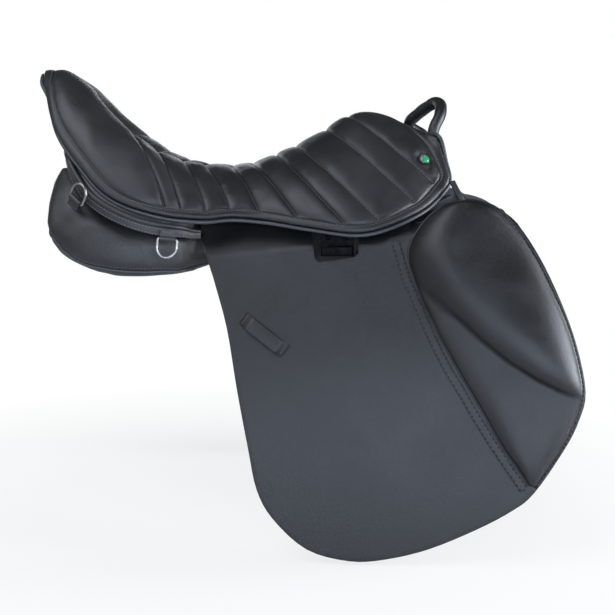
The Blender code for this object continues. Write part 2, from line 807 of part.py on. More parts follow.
def pommel_front(seat):
    """Leather that closes the front of the pommel, with an arch cut out for the horse's withers."""
    side = [(station, 1.0) for station in np.linspace(FRONT_FIRST, seat.last, 5)]
    places = side + [(seat.last, share) for share in np.linspace(0.8, -0.8, 9)]
    places += [(station, -share) for station, share in reversed(side)]
    rim = np.array([seat.place(*place) for place in places])
    half = rim[: len(rim) // 2 + 1][::-1]
    outer = []
    inner = []
    for index, point in enumerate(rim):
        turn = ARCH_TURN * (1 - 2 * index / (len(rim) - 1))
        arch = np.array((0, ARCH_HALF_WIDTH * sin(turn), ARCH_TOP - ARCH_HALF_WIDTH * (1 - cos(turn))))
        inwards = np.array((0, -point[1], 0.75 * (ARCH_TOP - 0.02) - point[2]))
        edge = point + FRONT_INSET * inwards / np.linalg.norm(inwards)
        row = [arch + (edge - arch) * share for share in (0, 0.5, 1)]
        for spot in row:
            spot[0] = np.interp(abs(spot[1]), half[:, 1], half[:, 0]) - FRONT_SET_BACK
        outer.append(row)
        inner.append([spot - (BACK_THICKNESS, 0, 0) for spot in row])
    grid_solid("pommel_front", outer, inner, "flap_leather")


def strip_profile(height, thickness, roll):
    """A thin upright strip with a round roll along its top edge."""
    half = height / 2
    return (
        (0.0, -half),
        (thickness, -half),
        (thickness, half - 2 * roll),
        (thickness + 0.7 * roll, half - 1.4 * roll),
        (thickness + 0.7 * roll, half - 0.5 * roll),
        (thickness, half),
        (0.0, half),
    )


def cantle_facing():
    """Bound strip round the back, between the seat and the panels."""
    half = curve_through(FACING_PATH, 2)
    path = [*half, *[point * (1, -1, 1) for point in reversed(half[:-1])]]
    outwards = []
    for index in range(len(path)):
        along = path[min(index + 1, len(path) - 1)] - path[max(index - 1, 0)]
        outwards.append((-along[1], along[0], 0.0))
    outwards = [Vector(out) * (-1 if Vector(out).dot(Vector(place) - Vector((0.05, 0, 0))) < 0 else 1)
                for out, place in zip(outwards, path)]
    profile = strip_profile(FACING_HEIGHT, FACING_THICKNESS, FACING_ROLL)
    sweep("cantle_facing", path, outwards, profile, "panel_leather")


def front_facing(side, sign):
    """Bound strip along the front end of one panel, with its nail."""
    path = [point * (1, sign, 1) for point in curve_through(FRONT_FACING_PATH, 2)]
    turns = np.linspace(radians(90), FRONT_FACING_TURN, len(path))
    outwards = [Vector((cos(turn), sign * sin(turn), 0.0)) for turn in turns]
    profile = strip_profile(FRONT_FACING_HEIGHT, LEATHER, FACING_ROLL * 0.8)
    sweep("front_facing_" + side, path, outwards, profile, "panel_leather")
    index = 2
    out = outwards[index].normalized()
    start = Vector(path[index]) + (LEATHER + 3 * TOUCH) * out - Vector((0, 0, FACING_ROLL))
    dome = ((0, 0), (NAIL_RADIUS, 0), (NAIL_RADIUS, 0.0006), (NAIL_RADIUS * 0.6, 0.0018), (0, 0.0022))
    turned("front_nail_" + side, start, out, dome, "steel", 8)


def panel(side, sign):
    """Stuffed cushion that lies beside the horse's spine."""
    rings = []
    for x, y_in, y_low, y_top, top_in, top_out, bottom_in, bottom_out in PANEL_SECTIONS:
        ring = []
        for step in range(PANEL_SIDES):
            angle = 2 * pi * (step + 0.5) / PANEL_SIDES
            power = 2 / PANEL_SQUARENESS
            across = 0.5 + 0.5 * abs(cos(angle)) ** power * (1 if cos(angle) > 0 else -1)
            up = 0.5 + 0.5 * abs(sin(angle)) ** power * (1 if sin(angle) > 0 else -1)
            low = bottom_in + (bottom_out - bottom_in) * across
            high = top_in + (top_out - top_in) * across
            y_out = y_low + (y_top - y_low) * up**2
            ring.append((x, sign * (y_in + (y_out - y_in) * across), low + (high - low) * up))
        rings.append(ring)
    points = [point for ring in rings for point in ring]
    faces = [tuple(reversed(range(PANEL_SIDES)))]
    for ring in range(len(rings) - 1):
        for step in range(PANEL_SIDES):
            following = (step + 1) % PANEL_SIDES
            base = ring * PANEL_SIDES
            ahead = base + PANEL_SIDES
            faces.append((base + step, base + following, ahead + following, ahead + step))
    faces.append(tuple(range((len(rings) - 1) * PANEL_SIDES, len(rings) * PANEL_SIDES)))
    add_mesh("panel_" + side, points, faces, "panel_leather", 60)


def gullet_lining():
    """Leather ceiling of the channel between the panels."""
    table = np.array(PANEL_SECTIONS)
    outer = []
    inner = []
    for x in np.linspace(LINING_FIRST, LINING_LAST, 12):
        edge = np.interp(x, table[:, 0], table[:, 4]) - 0.006
        row = []
        for share in (-1, -0.5, 0, 0.5, 1):
            row.append((x, share * LINING_HALF_WIDTH, edge + LINING_RISE * (1 - share**2)))
        outer.append([(x, y, z + LINING_THICKNESS) for x, y, z in row])
        inner.append(row)
    grid_solid("gullet_lining", outer, inner, "panel_leather")


def fold_y(x):
    return FOLD_Y + FOLD_PLAN_SLOPE * x


def fold_z(x):
    return FOLD_Z + FOLD_CLIMB * x


def flap_y(x, z):
    """Half width of the flap's inner face: close to the fold line at the top, flaring out below."""
    below = (fold_z(x) - z) / FOLD_SOFTNESS
    depth = FOLD_SOFTNESS * (log(1 + exp(below)) - log(2))
    return fold_y(x) + FLARE_OUT * (1 - exp(-depth / FLARE_DEPTH))


def sheet(name, outline, cell, outer_y, inner_y, sign, finish, sharp=35):
    """A leather sheet cut to an outline in x and z, and laid between two curved faces."""
    shape = bmesh.new()
    shape.faces.new([shape.verts.new((x, 0.0, z)) for x, z in outline])
    spans = np.array(outline)
    for axis, normal in ((0, (1, 0, 0)), (1, (0, 0, 1))):
        low, high = spans[:, axis].min(), spans[:, axis].max()
        count = int((high - low) / cell)
        for cut in range(1, count + 1):
            level = low + (high - low) * cut / (count + 1)
            place = (level, 0, 0) if axis == 0 else (0, 0, level)
            parts = shape.verts[:] + shape.edges[:] + shape.faces[:]
            bmesh.ops.bisect_plane(shape, geom=parts, dist=0.0005, plane_co=place, plane_no=normal)
    shape.verts.index_update()
    flat = [(vert.co.x, vert.co.z) for vert in shape.verts]
    outer = [(x, sign * outer_y(x, z), z) for x, z in flat]
    inner = [(x, sign * inner_y(x, z), z) for x, z in flat]
    faces = []
    total = len(flat)
    for face in shape.faces:
        corners = tuple(vert.index for vert in face.verts)
        faces.append(corners)
        faces.append(tuple(corner + total for corner in reversed(corners)))
    for edge in shape.edges:
        if edge.is_boundary:
            one, two = (vert.index for vert in edge.verts)
            faces.append((one, two, two + total, one + total))
    shape.free()
    return add_mesh(name, outer + inner, faces, finish, sharp)


def flap_outline():
    """The moving flap's edge, with the notch for the stirrup bar in its top."""
    edge = [tuple(point) for point in curve_through(FLAP_EDGE, 2)]
    corner = 0.004
    notch = (
        (NOTCH_REAR_X, 0.0),
        (NOTCH_REAR_X, corner - NOTCH_DEPTH),
        (NOTCH_REAR_X + corner, -NOTCH_DEPTH),
        (NOTCH_FRONT_X - corner, -NOTCH_DEPTH),
        (NOTCH_FRONT_X, corner - NOTCH_DEPTH),
        (NOTCH_FRONT_X, 0.0),
    )
    top = [(FLAP_REAR_X, fold_z(FLAP_REAR_X) - TOUCH)]
    top += [(x, fold_z(x) + down - TOUCH) for x, down in notch]
    top.append((FLAP_FRONT_X, fold_z(FLAP_FRONT_X) - TOUCH))
    return top + edge


def flap(side, sign):
    """The large leather flap, which lifts on its fold line."""
    return sheet(
        "flap_" + side,
        flap_outline(),
        FLAP_CELL,
        lambda x, z: flap_y(x, z) + FLAP_THICKNESS,
        flap_y,
        sign,
        "flap_leather",
    )


def flap_root(seat, side, sign):
    """Fixed top strips of the flap, from the fold line up to the tree's edge, on both sides of the bar."""
    for name, rear_x, front_x in (
        ("rear", FLAP_REAR_X, NOTCH_REAR_X - 0.002),
        ("front", NOTCH_FRONT_X + 0.002, FLAP_FRONT_X),
    ):
        outer = []
        inner = []
        for share in np.linspace(0, 1, 6):
            x = rear_x + (front_x - rear_x) * share
            head_x = x - (ROOT_LEAN * (1 - share) if name == "rear" else 0)
            edge_y, edge_z = tree_edge(seat, head_x)
            foot = np.array((x, fold_y(x) + ROOT_THICKNESS, fold_z(x) + TOUCH))
            head = np.array((head_x, edge_y + ROOT_ROOM + ROOT_THICKNESS, edge_z - 0.5 * ROOT_ROOM))
            rows = [foot + (head - foot) * share for share in (0, 0.5, 1)]
            outer.append([(x, sign * y, z) for x, y, z in rows])
            inner.append([(x, sign * (y - ROOT_THICKNESS), z) for x, y, z in rows])
        grid_solid(f"flap_root_{name}_{side}", outer, inner, "flap_leather")


def above_crease(x, z):
    """How far a point of the roll lies above the crease."""
    crease = np.array(ROLL_CREASE)
    return z - np.interp(x, crease[:, 0], crease[:, 1])


def roll_thickness(x, z, across, down):
    """Thickness of the knee roll: fullest just above the crease, thin below it, round to its edges."""
    above = above_crease(x, z)
    upper = ROLL_UPPER + (ROLL_TOP - ROLL_UPPER) * smooth_step((above - ROLL_TAPER_STARTS) / ROLL_TAPER)
    full = ROLL_LOWER + (upper - ROLL_LOWER) * smooth_step(0.5 + above / ROLL_STEP)
    side = (1 - abs(2 * across - 1) ** 2.6) ** (1 / 2.6)
    end = min(1.0, (max(down, 0.0) / 0.14) ** 0.5, (max(1 - down, 0.0) / 0.08) ** 0.5)
    return ROLL_LEAST + (full - ROLL_LEAST) * side * end


def knee_roll(side, sign):
    """Padded roll sewn on the front of the flap."""
    rear = curve_through(ROLL_REAR, 2)
    front = curve_through(ROLL_FRONT, 2)
    shares = (0, 0.07, 0.2, 0.4, 0.6, 0.8, 0.93, 1)
    outer = []
    inner = []
    for row, (one, two) in enumerate(zip(rear, front)):
        down = row / (len(rear) - 1)
        top = []
        base = []
        for share in shares:
            x, z = one + (two - one) * share
            y = flap_y(x, z) + FLAP_THICKNESS + ROLL_ROOM
            top.append((x, sign * (y + roll_thickness(x, z, share, down)), z))
            base.append((x, sign * y, z))
        outer.append(top)
        inner.append(base)
    return grid_solid("knee_roll_" + side, outer, inner, "flap_leather", 60)


def keeper(side, sign):
    """Arched leather loop on the flap, with its ends down on the flap."""
    outer = []
    inner = []
    for step in range(11):
        share = step / 10
        lift = KEEPER_ARCH * min(1.0, 2.4 * sin(pi * share) ** 1.2)
        top = []
        base = []
        for width in (-0.5, 0.5):
            along = (share - 0.5) * KEEPER_LENGTH
            across = width * KEEPER_WIDTH
            x = KEEPER_X + along * cos(KEEPER_SLOPE) - across * sin(KEEPER_SLOPE)
            z = KEEPER_Z + along * sin(KEEPER_SLOPE) + across * cos(KEEPER_SLOPE)
            y = flap_y(x, z) + FLAP_THICKNESS + TOUCH + lift
            base.append((x, sign * y, z))
            top.append((x, sign * (y + KEEPER_THICKNESS), z))
        outer.append(top)
        inner.append(base)
    return grid_solid("keeper_" + side, outer, inner, "flap_leather")


def sweat_flap(side, sign):
    """Thin leather between the girth straps and the horse, sewn to the panel's side."""

    def inner_y(x, z):
        depth = max(fold_z(x) - z, 0.0)
        return flap_y(x, z) - SWEAT_ROOM - SWEAT_TUCK * exp(-depth / SWEAT_TUCK_DEPTH)

    outline = [tuple(point) for point in curve_through(SWEAT_EDGE, 1)]
    sheet(
        "sweat_flap_" + side,
        outline,
        FLAP_CELL * 1.2,
        lambda x, z: inner_y(x, z) + SWEAT_THICKNESS,
        inner_y,
        sign,
        "flap_leather",
    )


def strap_y(x, z):
    """Half width of the girth straps' inner face, in the space between flap and sweat flap."""
    return flap_y(x, z) - BILLET_ROOM


def billets(side, sign):
    """Two girth straps, each hanging from the web."""
    for name, x in zip(BILLET_NAMES, BILLET_X):
        half = BILLET_WIDTH / 2
        outer = []
        inner = []
        levels = [BILLET_TOP + (BILLET_BOTTOM - BILLET_TOP) * step / 9 for step in range(10)]
        widths = [half] * 10 + [half * 0.6]
        levels.append(BILLET_BOTTOM - BILLET_POINT)
        for level, width in zip(levels, widths):
            top = []
            base = []
            for share in (-1, 1):
                y = strap_y(x, level)
                base.append((x + share * width, sign * y, level))
                top.append((x + share * width, sign * (y + BILLET_THICKNESS), level))
            outer.append(top)
            inner.append(base)
        strap = grid_solid(f"billet_{name}_{side}", outer, inner, "strap_leather")
        hang([strap], (x, sign * strap_y(x, BILLET_TOP), BILLET_TOP))


def girth_web(side, sign):
    """Web from under the tree, which carries both girth straps."""
    outer = []
    inner = []
    foot_z = BILLET_TOP + 0.0025
    for x in np.linspace(WEB_REAR_X, WEB_FRONT_X, 5):
        foot = np.array((x, strap_y(x, foot_z), foot_z))
        head = np.array((x, WEB_TOP_Y + FOLD_PLAN_SLOPE * x, WEB_TOP_Z))
        rows = [foot + (head - foot) * share for share in (0, 0.5, 1)]
        outer.append([(x, sign * (y + WEB_THICKNESS), z) for x, y, z in rows])
        inner.append([(x, sign * y, z) for x, y, z in rows])
    grid_solid("girth_web_" + side, outer, inner, "webbing")


def stirrup_bar(side, sign):
    """Forged bar for the stirrup leather, its backing plate, two rivets and the hinged catch."""
    plate = (
        (PLATE_REAR_X, PLATE_BOTTOM_Z),
        (PLATE_FRONT_X, PLATE_BOTTOM_Z),
        (PLATE_FRONT_X, PLATE_TOP_Z),
        (PLATE_REAR_X, PLATE_TOP_Z),
    )
    extruded(
        "bar_plate_" + side,
        plate,
        lambda x, z, depth: (x, sign * (PLATE_Y + depth), z),
        PLATE_THICKNESS,
        "steel",
    )
    inside = PLATE_Y + PLATE_THICKNESS + TOUCH
    slot_end = BAR_FRONT_X - BAR_ROOT_WIDTH
    outline = (
        (slot_end, inside),
        (BAR_FRONT_X, inside),
        (BAR_FRONT_X, inside + BAR_SLOT + 0.6 * BAR_THICKNESS),
        (BAR_FRONT_X - 0.4 * BAR_THICKNESS, inside + BAR_SLOT + BAR_THICKNESS),
        (BAR_REAR_X, inside + BAR_SLOT + BAR_THICKNESS),
        (BAR_REAR_X, inside + BAR_SLOT),
        (slot_end, inside + BAR_SLOT),
    )
    extruded(
        "stirrup_bar_" + side,
        outline,
        lambda x, y, depth: (x, sign * y, BAR_Z - BAR_HEIGHT / 2 + depth),
        BAR_HEIGHT,
        "steel",
    )
    for number, x in enumerate((PLATE_REAR_X + 0.008, PLATE_FRONT_X - 0.008), 1):
        start = (x, sign * (PLATE_Y + PLATE_THICKNESS + TOUCH), RIVET_Z)
        head = (
            (0, 0),
            (RIVET_RADIUS, 0),
            (RIVET_RADIUS, RIVET_HEAD * 0.3),
            (RIVET_RADIUS * 0.6, RIVET_HEAD * 0.8),
            (0, RIVET_HEAD),
        )
        turned(f"bar_rivet_{number}_{side}", start, (0, sign, 0), head, "steel", 8)
    face = inside + BAR_SLOT + BAR_THICKNESS + TOUCH
    pivot_x = BAR_REAR_X + CATCH_PIVOT
    half = CATCH_HEIGHT / 2
    outline = [(pivot_x + half * sin(angle), BAR_Z + half * cos(angle)) for angle in np.linspace(0, pi, 6)]
    outline += [(pivot_x - CATCH_LENGTH, BAR_Z - half * 0.8), (pivot_x - CATCH_LENGTH, BAR_Z + half * 0.8)]
    catch = extruded(
        "bar_catch_" + side,
        outline,
        lambda x, z, depth: (x, sign * (face + depth), z),
        CATCH_THICKNESS,
        "steel",
    )
    hang([catch], (pivot_x, sign * (face + CATCH_THICKNESS / 2), BAR_Z))
    head = (
        (0, 0),
        (PIN_RADIUS, 0),
        (PIN_RADIUS, PIN_HEAD * 0.6),
        (PIN_RADIUS * 0.6, PIN_HEAD),
        (0, PIN_HEAD),
    )
    foot = (pivot_x, sign * (face + CATCH_THICKNESS + TOUCH), BAR_Z)
    turned("catch_pin_" + side, foot, (0, sign, 0), head, "steel", 8)


def ring_frame(middle, bar, bow, sign):
    """The ring's middle, the direction of its bar and that of its bow, on one side of the saddle."""
    flip = Vector((1, sign, 1))
    middle = Vector(middle) * flip
    bar = (Vector(bar) * flip).normalized()
    bow = Vector(bow) * flip
    bow = (bow - bow.dot(bar) * bar).normalized()
    return middle, bar, bow


def rings(side, sign):
    """Wire D-rings, each with its bar in a leather tab."""
    for name, middle, bar, bow in RINGS:
        middle, bar, bow = ring_frame(middle, bar, bow, sign)
        half = RING_WIDTH / 2 - RING_WIRE
        reach = RING_DEPTH - RING_WIRE
        path = [middle - half * bar, middle + half * bar]
        straight = reach - half
        for step in range(RING_STEPS + 1):
            angle = pi * step / RING_STEPS
            path.append(middle + half * cos(angle) * bar + (straight + half * sin(angle)) * bow)
        hang([tube(f"ring_{name}_{side}", path, RING_WIRE, "steel", closed=True, sides=6)], middle)
        hole = RING_WIRE + TOUCH + 0.0002
        outside = hole + TAB_WALL
        out = bar.cross(bow)
        points = []
        count = 10
        for end in (-0.5, 0.5):
            for radius in (outside, hole):
                for step in range(count):
                    angle = 2 * pi * step / count
                    x = radius * cos(angle)
                    y = radius * sin(angle)
                    if radius == outside and sin(angle) < -0.8:
                        y -= TAB_TONGUE
                    points.append(middle + end * TAB_LENGTH * bar + x * out + y * bow)
        faces = []
        for step in range(count):
            following = (step + 1) % count
            faces.append((step, following, following + 2 * count, step + 2 * count))
            faces.append((step + count, step + 3 * count, following + 3 * count, following + count))
            faces.append((step, step + count, following + count, following))
            end = 2 * count
            faces.append((step + end, following + end, following + end + count, step + end + count))
        add_mesh(f"ring_tab_{name}_{side}", points, faces, "panel_leather", 30)


def handle():
    """Leather-covered carrying handle over the pommel, with a sewn cap under each foot."""
    path = curve_through(HANDLE_PATH, 2)
    tube("handle", path, HANDLE_RADIUS, "flap_leather", sides=10)
    cap = (
        (0, 0),
        (HANDLE_RADIUS, 0),
        (HANDLE_RADIUS, 0.6 * HANDLE_CAP),
        (0.7 * HANDLE_RADIUS, HANDLE_CAP),
        (0, HANDLE_CAP),
    )
    for (side, sign), foot, beyond in zip(SIDES, (path[0], path[-1]), (path[1], path[-2])):
        along = Vector(foot - beyond).normalized()
        turned("handle_cap_" + side, Vector(foot) + TOUCH * along, along, cap, "flap_leather", 10)


def studs(seat, side, sign):
    """Green enamelled stud in a pale metal rim, on the pommel's side."""
    place = seat.place(STUD_SECTION, sign * STUD_ALONG)
    out = seat.normal(STUD_SECTION, sign * STUD_ALONG)
    start = Vector(place + TOUCH * out)
    inner = STUD_RADIUS - STUD_RIM
    cup = (
        (0, 0),
        (STUD_RADIUS, 0),
        (STUD_RADIUS, 0.5 * STUD_HEIGHT),
        (inner + 0.3 * STUD_RIM, STUD_HEIGHT),
        (inner, 0.4 * STUD_HEIGHT),
        (0, 0.4 * STUD_HEIGHT),
    )
    turned("stud_rim_" + side, start, out, cup, "steel", 16)
    dome_foot = start + Vector(out) * (0.4 * STUD_HEIGHT + TOUCH)
    radius = inner - TOUCH
    dome = ((0, 0), (radius, 0), (radius, 0.0004), (0.6 * radius, 0.0012), (0, 0.0015))
    turned("stud_" + side, dome_foot, out, dome, "green_enamel", 16)


def build():
    for old in list(bpy.data.objects):
        bpy.data.objects.remove(old)
    seat = Seat()
    seat_cover(seat)
    seat_inside(seat)
    seat_piping(seat)
    cantle_back(seat)
    pommel_front(seat)
    cantle_facing()
    gullet_lining()
    handle()
    for side, sign in SIDES:
        panel(side, sign)
        front_facing(side, sign)
        flap_root(seat, side, sign)
        lifting = [flap(side, sign), knee_roll(side, sign), keeper(side, sign)]
        hang(lifting, (FLAP_HINGE_X, sign * (fold_y(FLAP_HINGE_X) + FLAP_THICKNESS), fold_z(FLAP_HINGE_X)))
        sweat_flap(side, sign)
        girth_web(side, sign)
        billets(side, sign)
        stirrup_bar(side, sign)
        rings(side, sign)
        studs(seat, side, sign)


build()
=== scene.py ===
"""A black leather trekking saddle on a pale floor: quilted seat, flaps, knee rolls, panels and handle."""

import json
from math import cos, exp, log, pi, radians, sin

import bmesh
import bpy
import numpy as np
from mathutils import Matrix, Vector
from mathutils.bvhtree import BVHTree
from mathutils.geometry import delaunay_2d_cdt
from mathutils.kdtree import KDTree


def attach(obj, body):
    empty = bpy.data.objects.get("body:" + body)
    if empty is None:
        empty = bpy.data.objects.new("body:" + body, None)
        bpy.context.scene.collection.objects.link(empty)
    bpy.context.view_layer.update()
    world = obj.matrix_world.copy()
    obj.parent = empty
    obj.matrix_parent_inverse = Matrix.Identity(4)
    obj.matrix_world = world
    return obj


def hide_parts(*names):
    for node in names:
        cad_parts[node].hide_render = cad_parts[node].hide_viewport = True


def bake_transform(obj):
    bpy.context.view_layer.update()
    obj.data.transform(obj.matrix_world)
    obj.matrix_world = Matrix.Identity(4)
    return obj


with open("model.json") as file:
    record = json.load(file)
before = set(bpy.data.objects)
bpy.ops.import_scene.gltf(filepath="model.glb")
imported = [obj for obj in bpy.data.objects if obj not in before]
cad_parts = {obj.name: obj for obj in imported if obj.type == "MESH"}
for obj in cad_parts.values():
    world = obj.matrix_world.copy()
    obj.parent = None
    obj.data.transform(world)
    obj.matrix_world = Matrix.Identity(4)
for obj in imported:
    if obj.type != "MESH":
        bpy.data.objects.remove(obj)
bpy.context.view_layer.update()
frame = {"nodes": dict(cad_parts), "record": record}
nodes = frame["nodes"]
SIDES = (("right", -1), ("left", 1))

# Seat: centre x, centre z, rim x, rim y, rim z, shoulder, valley along the middle
SEAT_SECTIONS = np.array((
    (-0.24, 0.215, -0.2345, 0.049, 0.195, 0.5, 0),
    (-0.215, 0.215, -0.216, 0.0955, 0.1465, 0.56, 0.001),
    (-0.187, 0.1975, -0.1815, 0.1275, 0.1035, 0.6, 0.003),
    (-0.178, 0.184, -0.1575, 0.1415, 0.08, 0.6, 0.004),
    (-0.17, 0.1705, -0.134, 0.1485, 0.0675, 0.6, 0.005),
    (-0.162, 0.1585, -0.1105, 0.1525, 0.0605, 0.6, 0.006),
    (-0.152, 0.147, -0.088, 0.1515, 0.0555, 0.6, 0.006),
    (-0.118, 0.1265, -0.071, 0.1475, 0.0535, 0.58, 0.006),
    (-0.084, 0.1135, -0.045, 0.1385, 0.0515, 0.55, 0.004),
    (-0.058, 0.108, -0.019, 0.1295, 0.0535, 0.54, 0.003),
    (-0.024, 0.1055, 0.013, 0.1285, 0.0505, 0.55, 0.002),
    (0, 0.108, 0.058, 0.1435, 0.0435, 0.57, 0.001),
    (0.029, 0.117, 0.111, 0.1575, 0.0375, 0.58, 0),
    (0.052, 0.127, 0.148, 0.1515, 0.0435, 0.59, 0),
    (0.088, 0.146, 0.191, 0.125, 0.06, 0.6, 0),
    (0.115, 0.162, 0.2155, 0.101, 0.0785, 0.56, 0),
    (0.146, 0.165, 0.2255, 0.086, 0.0965, 0.52, 0),
    (0.187, 0.1505, 0.2105, 0.0655, 0.1365, 0.52, 0),
))
LAST = len(SEAT_SECTIONS) - 1
SEAMS = range(6, 16)
VALLEY_WIDTH = 0.030
REAR_SLANT, FRONT_SLANT = 0.15, 0.85
SLANT_STARTS, SLANT_SPREAD = 8.0, 4.5
BORDER = 0.0095
GROOVE = 0.0113
BORDER_STITCHES = 0.0088
NARROWING, CORNER_PASSES = 0.40, 36
SEAM_DEPTH = 0.0044
# How far the first and the last rib reach beyond their seams
FIRST_RIB, LAST_RIB = 0.022, 0.020
# Heights of the leather's puckers and of the stuffing's unevenness
PUCKER, UNEVEN_STUFFING = 0.0003, 0.00045
COVER_DEPTH = 0.0085
PIPING_RADIUS = 0.0021
STUD_STATION = 15.55
STUD_SHARE = 0.765
# Leather round a stud: a ring that swells, and folds that run in to it
SWELL_RADIUS, SWELL_WIDTH, SWELL_HEIGHT = 0.017, 0.0075, 0.0013
FOLDS, FOLD_RADIUS, FOLD_WIDTH, FOLD_HEIGHT = 5, 0.0105, 0.0045, 0.0004
# Studs: shares of the radius and heights
STUD_FACE = (
    (0, 0.0009), (0.3, 0.0008), (0.55, 0.0005), (0.74, -0.0001), (0.8, -0.0006), (0.8, -0.0026),
    (0, -0.0026),
)
STUD_RING = ((0.82, -0.0026), (0.82, -0.0003), (0.87, 0.0002), (0.95, 0.0001), (1, -0.0006), (1, -0.0026))

# Flap: fold line, flare and edge
FOLD_Y, FOLD_PLAN = 0.126, 0.095
FOLD_Z, FOLD_CLIMB = 0.008, 0.120
FLARE_OUT, FLARE_DEPTH, FOLD_SOFTNESS = 0.115, 0.210, 0.030
FLAP_THICKNESS, ON_FLAP = 0.0042, 0.0003
FLAP_REAR_X, FLAP_FRONT_X = -0.0455, 0.171
NOTCH_REAR_X, NOTCH_FRONT_X, NOTCH_DEPTH = 0.072, 0.119, 0.015
FLAP_EDGE = (
    (0.175, 0.034), (0.193, 0.052), (0.211, 0.065), (0.23, 0.074), (0.249, 0.073), (0.27, 0.064),
    (0.291, 0.043), (0.312, 0.009), (0.331, -0.035), (0.345, -0.079), (0.3525, -0.126), (0.345, -0.155),
    (0.33, -0.184), (0.298, -0.23), (0.275, -0.249), (0.239, -0.269), (0.189, -0.291), (0.144, -0.303),
    (0.106, -0.306), (0.061, -0.295), (0.025, -0.264), (0.008, -0.234), (-0.001, -0.192),
    (-0.013, -0.131), (-0.024, -0.069), (-0.039, -0.017),
)

# Knee roll: its two edges and its crease in x and z, and how full it is
ROLL_REAR = (
    (0.232, 0.071), (0.212, 0.066), (0.195, 0.053), (0.182, 0.037), (0.174, 0.021), (0.173, 0.003),
    (0.184, -0.031), (0.195, -0.055), (0.205, -0.076), (0.224, -0.111), (0.245, -0.147), (0.265, -0.182),
    (0.28, -0.203), (0.292, -0.221),
)
ROLL_FRONT = (
    (0.236, 0.072), (0.251, 0.0705), (0.27, 0.062), (0.2895, 0.041), (0.302, 0.023), (0.3112, 0.0065),
    (0.323, -0.02), (0.3325, -0.042), (0.3415, -0.069), (0.349, -0.1045), (0.3505, -0.1275),
    (0.343, -0.1545), (0.328, -0.184), (0.3005, -0.224),
)
ROLL_CREASE = np.array((
    (0.17, -0.01), (0.2, -0.035), (0.224, -0.055), (0.245, -0.074), (0.273, -0.096), (0.298, -0.111),
    (0.323, -0.123), (0.35, -0.132),
))
ROLL_UPPER, ROLL_TOP, ROLL_LOWER, ROLL_STEP = 0.031, 0.017, 0.012, 0.040
ROLL_TAPER_STARTS, ROLL_TAPER = 0.035, 0.110
ROLL_FLANGE, ROLL_FLANGE_HEIGHT = 0.0034, 0.0018

# Stitched strip beside the knee roll, in x and z, and the keeper
STITCH_BAND = (
    (0.159, 0.024), (0.1614, 0.0168), (0.1693, -0.0124), (0.1811, -0.041), (0.1939, -0.0714),
    (0.2077, -0.0996), (0.2247, -0.1287), (0.2447, -0.1628), (0.2648, -0.1939), (0.2871, -0.2261),
)
KEEPER_X, KEEPER_Z, KEEPER_LENGTH, KEEPER_WIDTH = 0.016, -0.0725, 0.056, 0.0152
KEEPER_THICKNESS, KEEPER_ARCH, KEEPER_SLOPE, KEEPER_STEPS = 0.0022, 0.0076, radians(-36), 40

# Strips round the back and at the front of the panels: x, half width y, z
FACING_PATH = (
    (-0.055, 0.121, 0.0322), (-0.064, 0.129, 0.0335), (-0.076, 0.1395, 0.037), (-0.096, 0.1465, 0.04),
    (-0.115, 0.1485, 0.0445), (-0.134, 0.1475, 0.0513), (-0.155, 0.143, 0.0618), (-0.174, 0.133, 0.076),
    (-0.19, 0.116, 0.097), (-0.199, 0.0965, 0.113), (-0.205, 0.06, 0.1205), (-0.207, 0, 0.121),
)
FRONT_FACING_PATH = (
    (0.184, 0.119, 0.041), (0.202, 0.118, 0.046), (0.22, 0.115, 0.051), (0.2355, 0.111, 0.058),
    (0.235, 0.106, 0.069), (0.23, 0.101, 0.079), (0.226, 0.096, 0.0875),
)
FRONT_FACING_TURN = radians(62)
# Bands: width outwards, height, corner radius
FACING_BAND, FRONT_BAND = (0.003, 0.0104, 0.001), (0.0032, 0.0068, 0.001)
BAND_STRIP = (0.0013, 0.0098, 0.0005)
# Radius of the roll on the facing, and the distance of the strip's stitches from its middle
FACING_ROLL, BAND_ROWS = 0.0031, 0.0034

# Handle: x, y, z, from its right foot over the top to its left foot
HANDLE_PATH = (
    (0.212, -0.037, 0.13), (0.212, -0.037, 0.141), (0.2145, -0.035, 0.15), (0.2205, -0.029, 0.161),
    (0.2235, -0.015, 0.1725), (0.2195, 0, 0.177), (0.21, 0.013, 0.1715), (0.2005, 0.022, 0.1635),
    (0.1925, 0.029, 0.1555), (0.1925, 0.0345, 0.149), (0.2005, 0.0375, 0.1445), (0.2095, 0.038, 0.139),
    (0.212, 0.037, 0.13),
)
HANDLE_CENTRE = (0.212, 0, 0.14)
HANDLE_RADIUS, HANDLE_SWELL, HANDLE_CREASE = 0.0064, 0.0008, 0.00015

# Panel: the seam along its lower edge, as x, half width y, z
PANEL_SEAM = (
    (-0.219, 0.098, 0.04), (-0.216, 0.12, 0.028), (-0.2049, 0.1264, 0.0155), (-0.1897, 0.1283, 0.003),
    (-0.168, 0.1365, -0.004), (-0.137, 0.1414, -0.008), (-0.1015, 0.1389, -0.0093),
    (-0.0639, 0.1175, -0.0088), (-0.04, 0.098, -0.0075), (0, 0.09, -0.006), (0.08, 0.096, -0.004),
    (0.15, 0.104, 0.004), (0.195, 0.108, 0.019), (0.222, 0.102, 0.042),
)
PANEL_NET = 0.0042
SEAM_SINK, SEAM_SINK_WIDTH = 0.0016, 0.006
# Pressure inside the stuffed leather
ROLL_PRESSURE, PANEL_PRESSURE = 2.5, 4.0

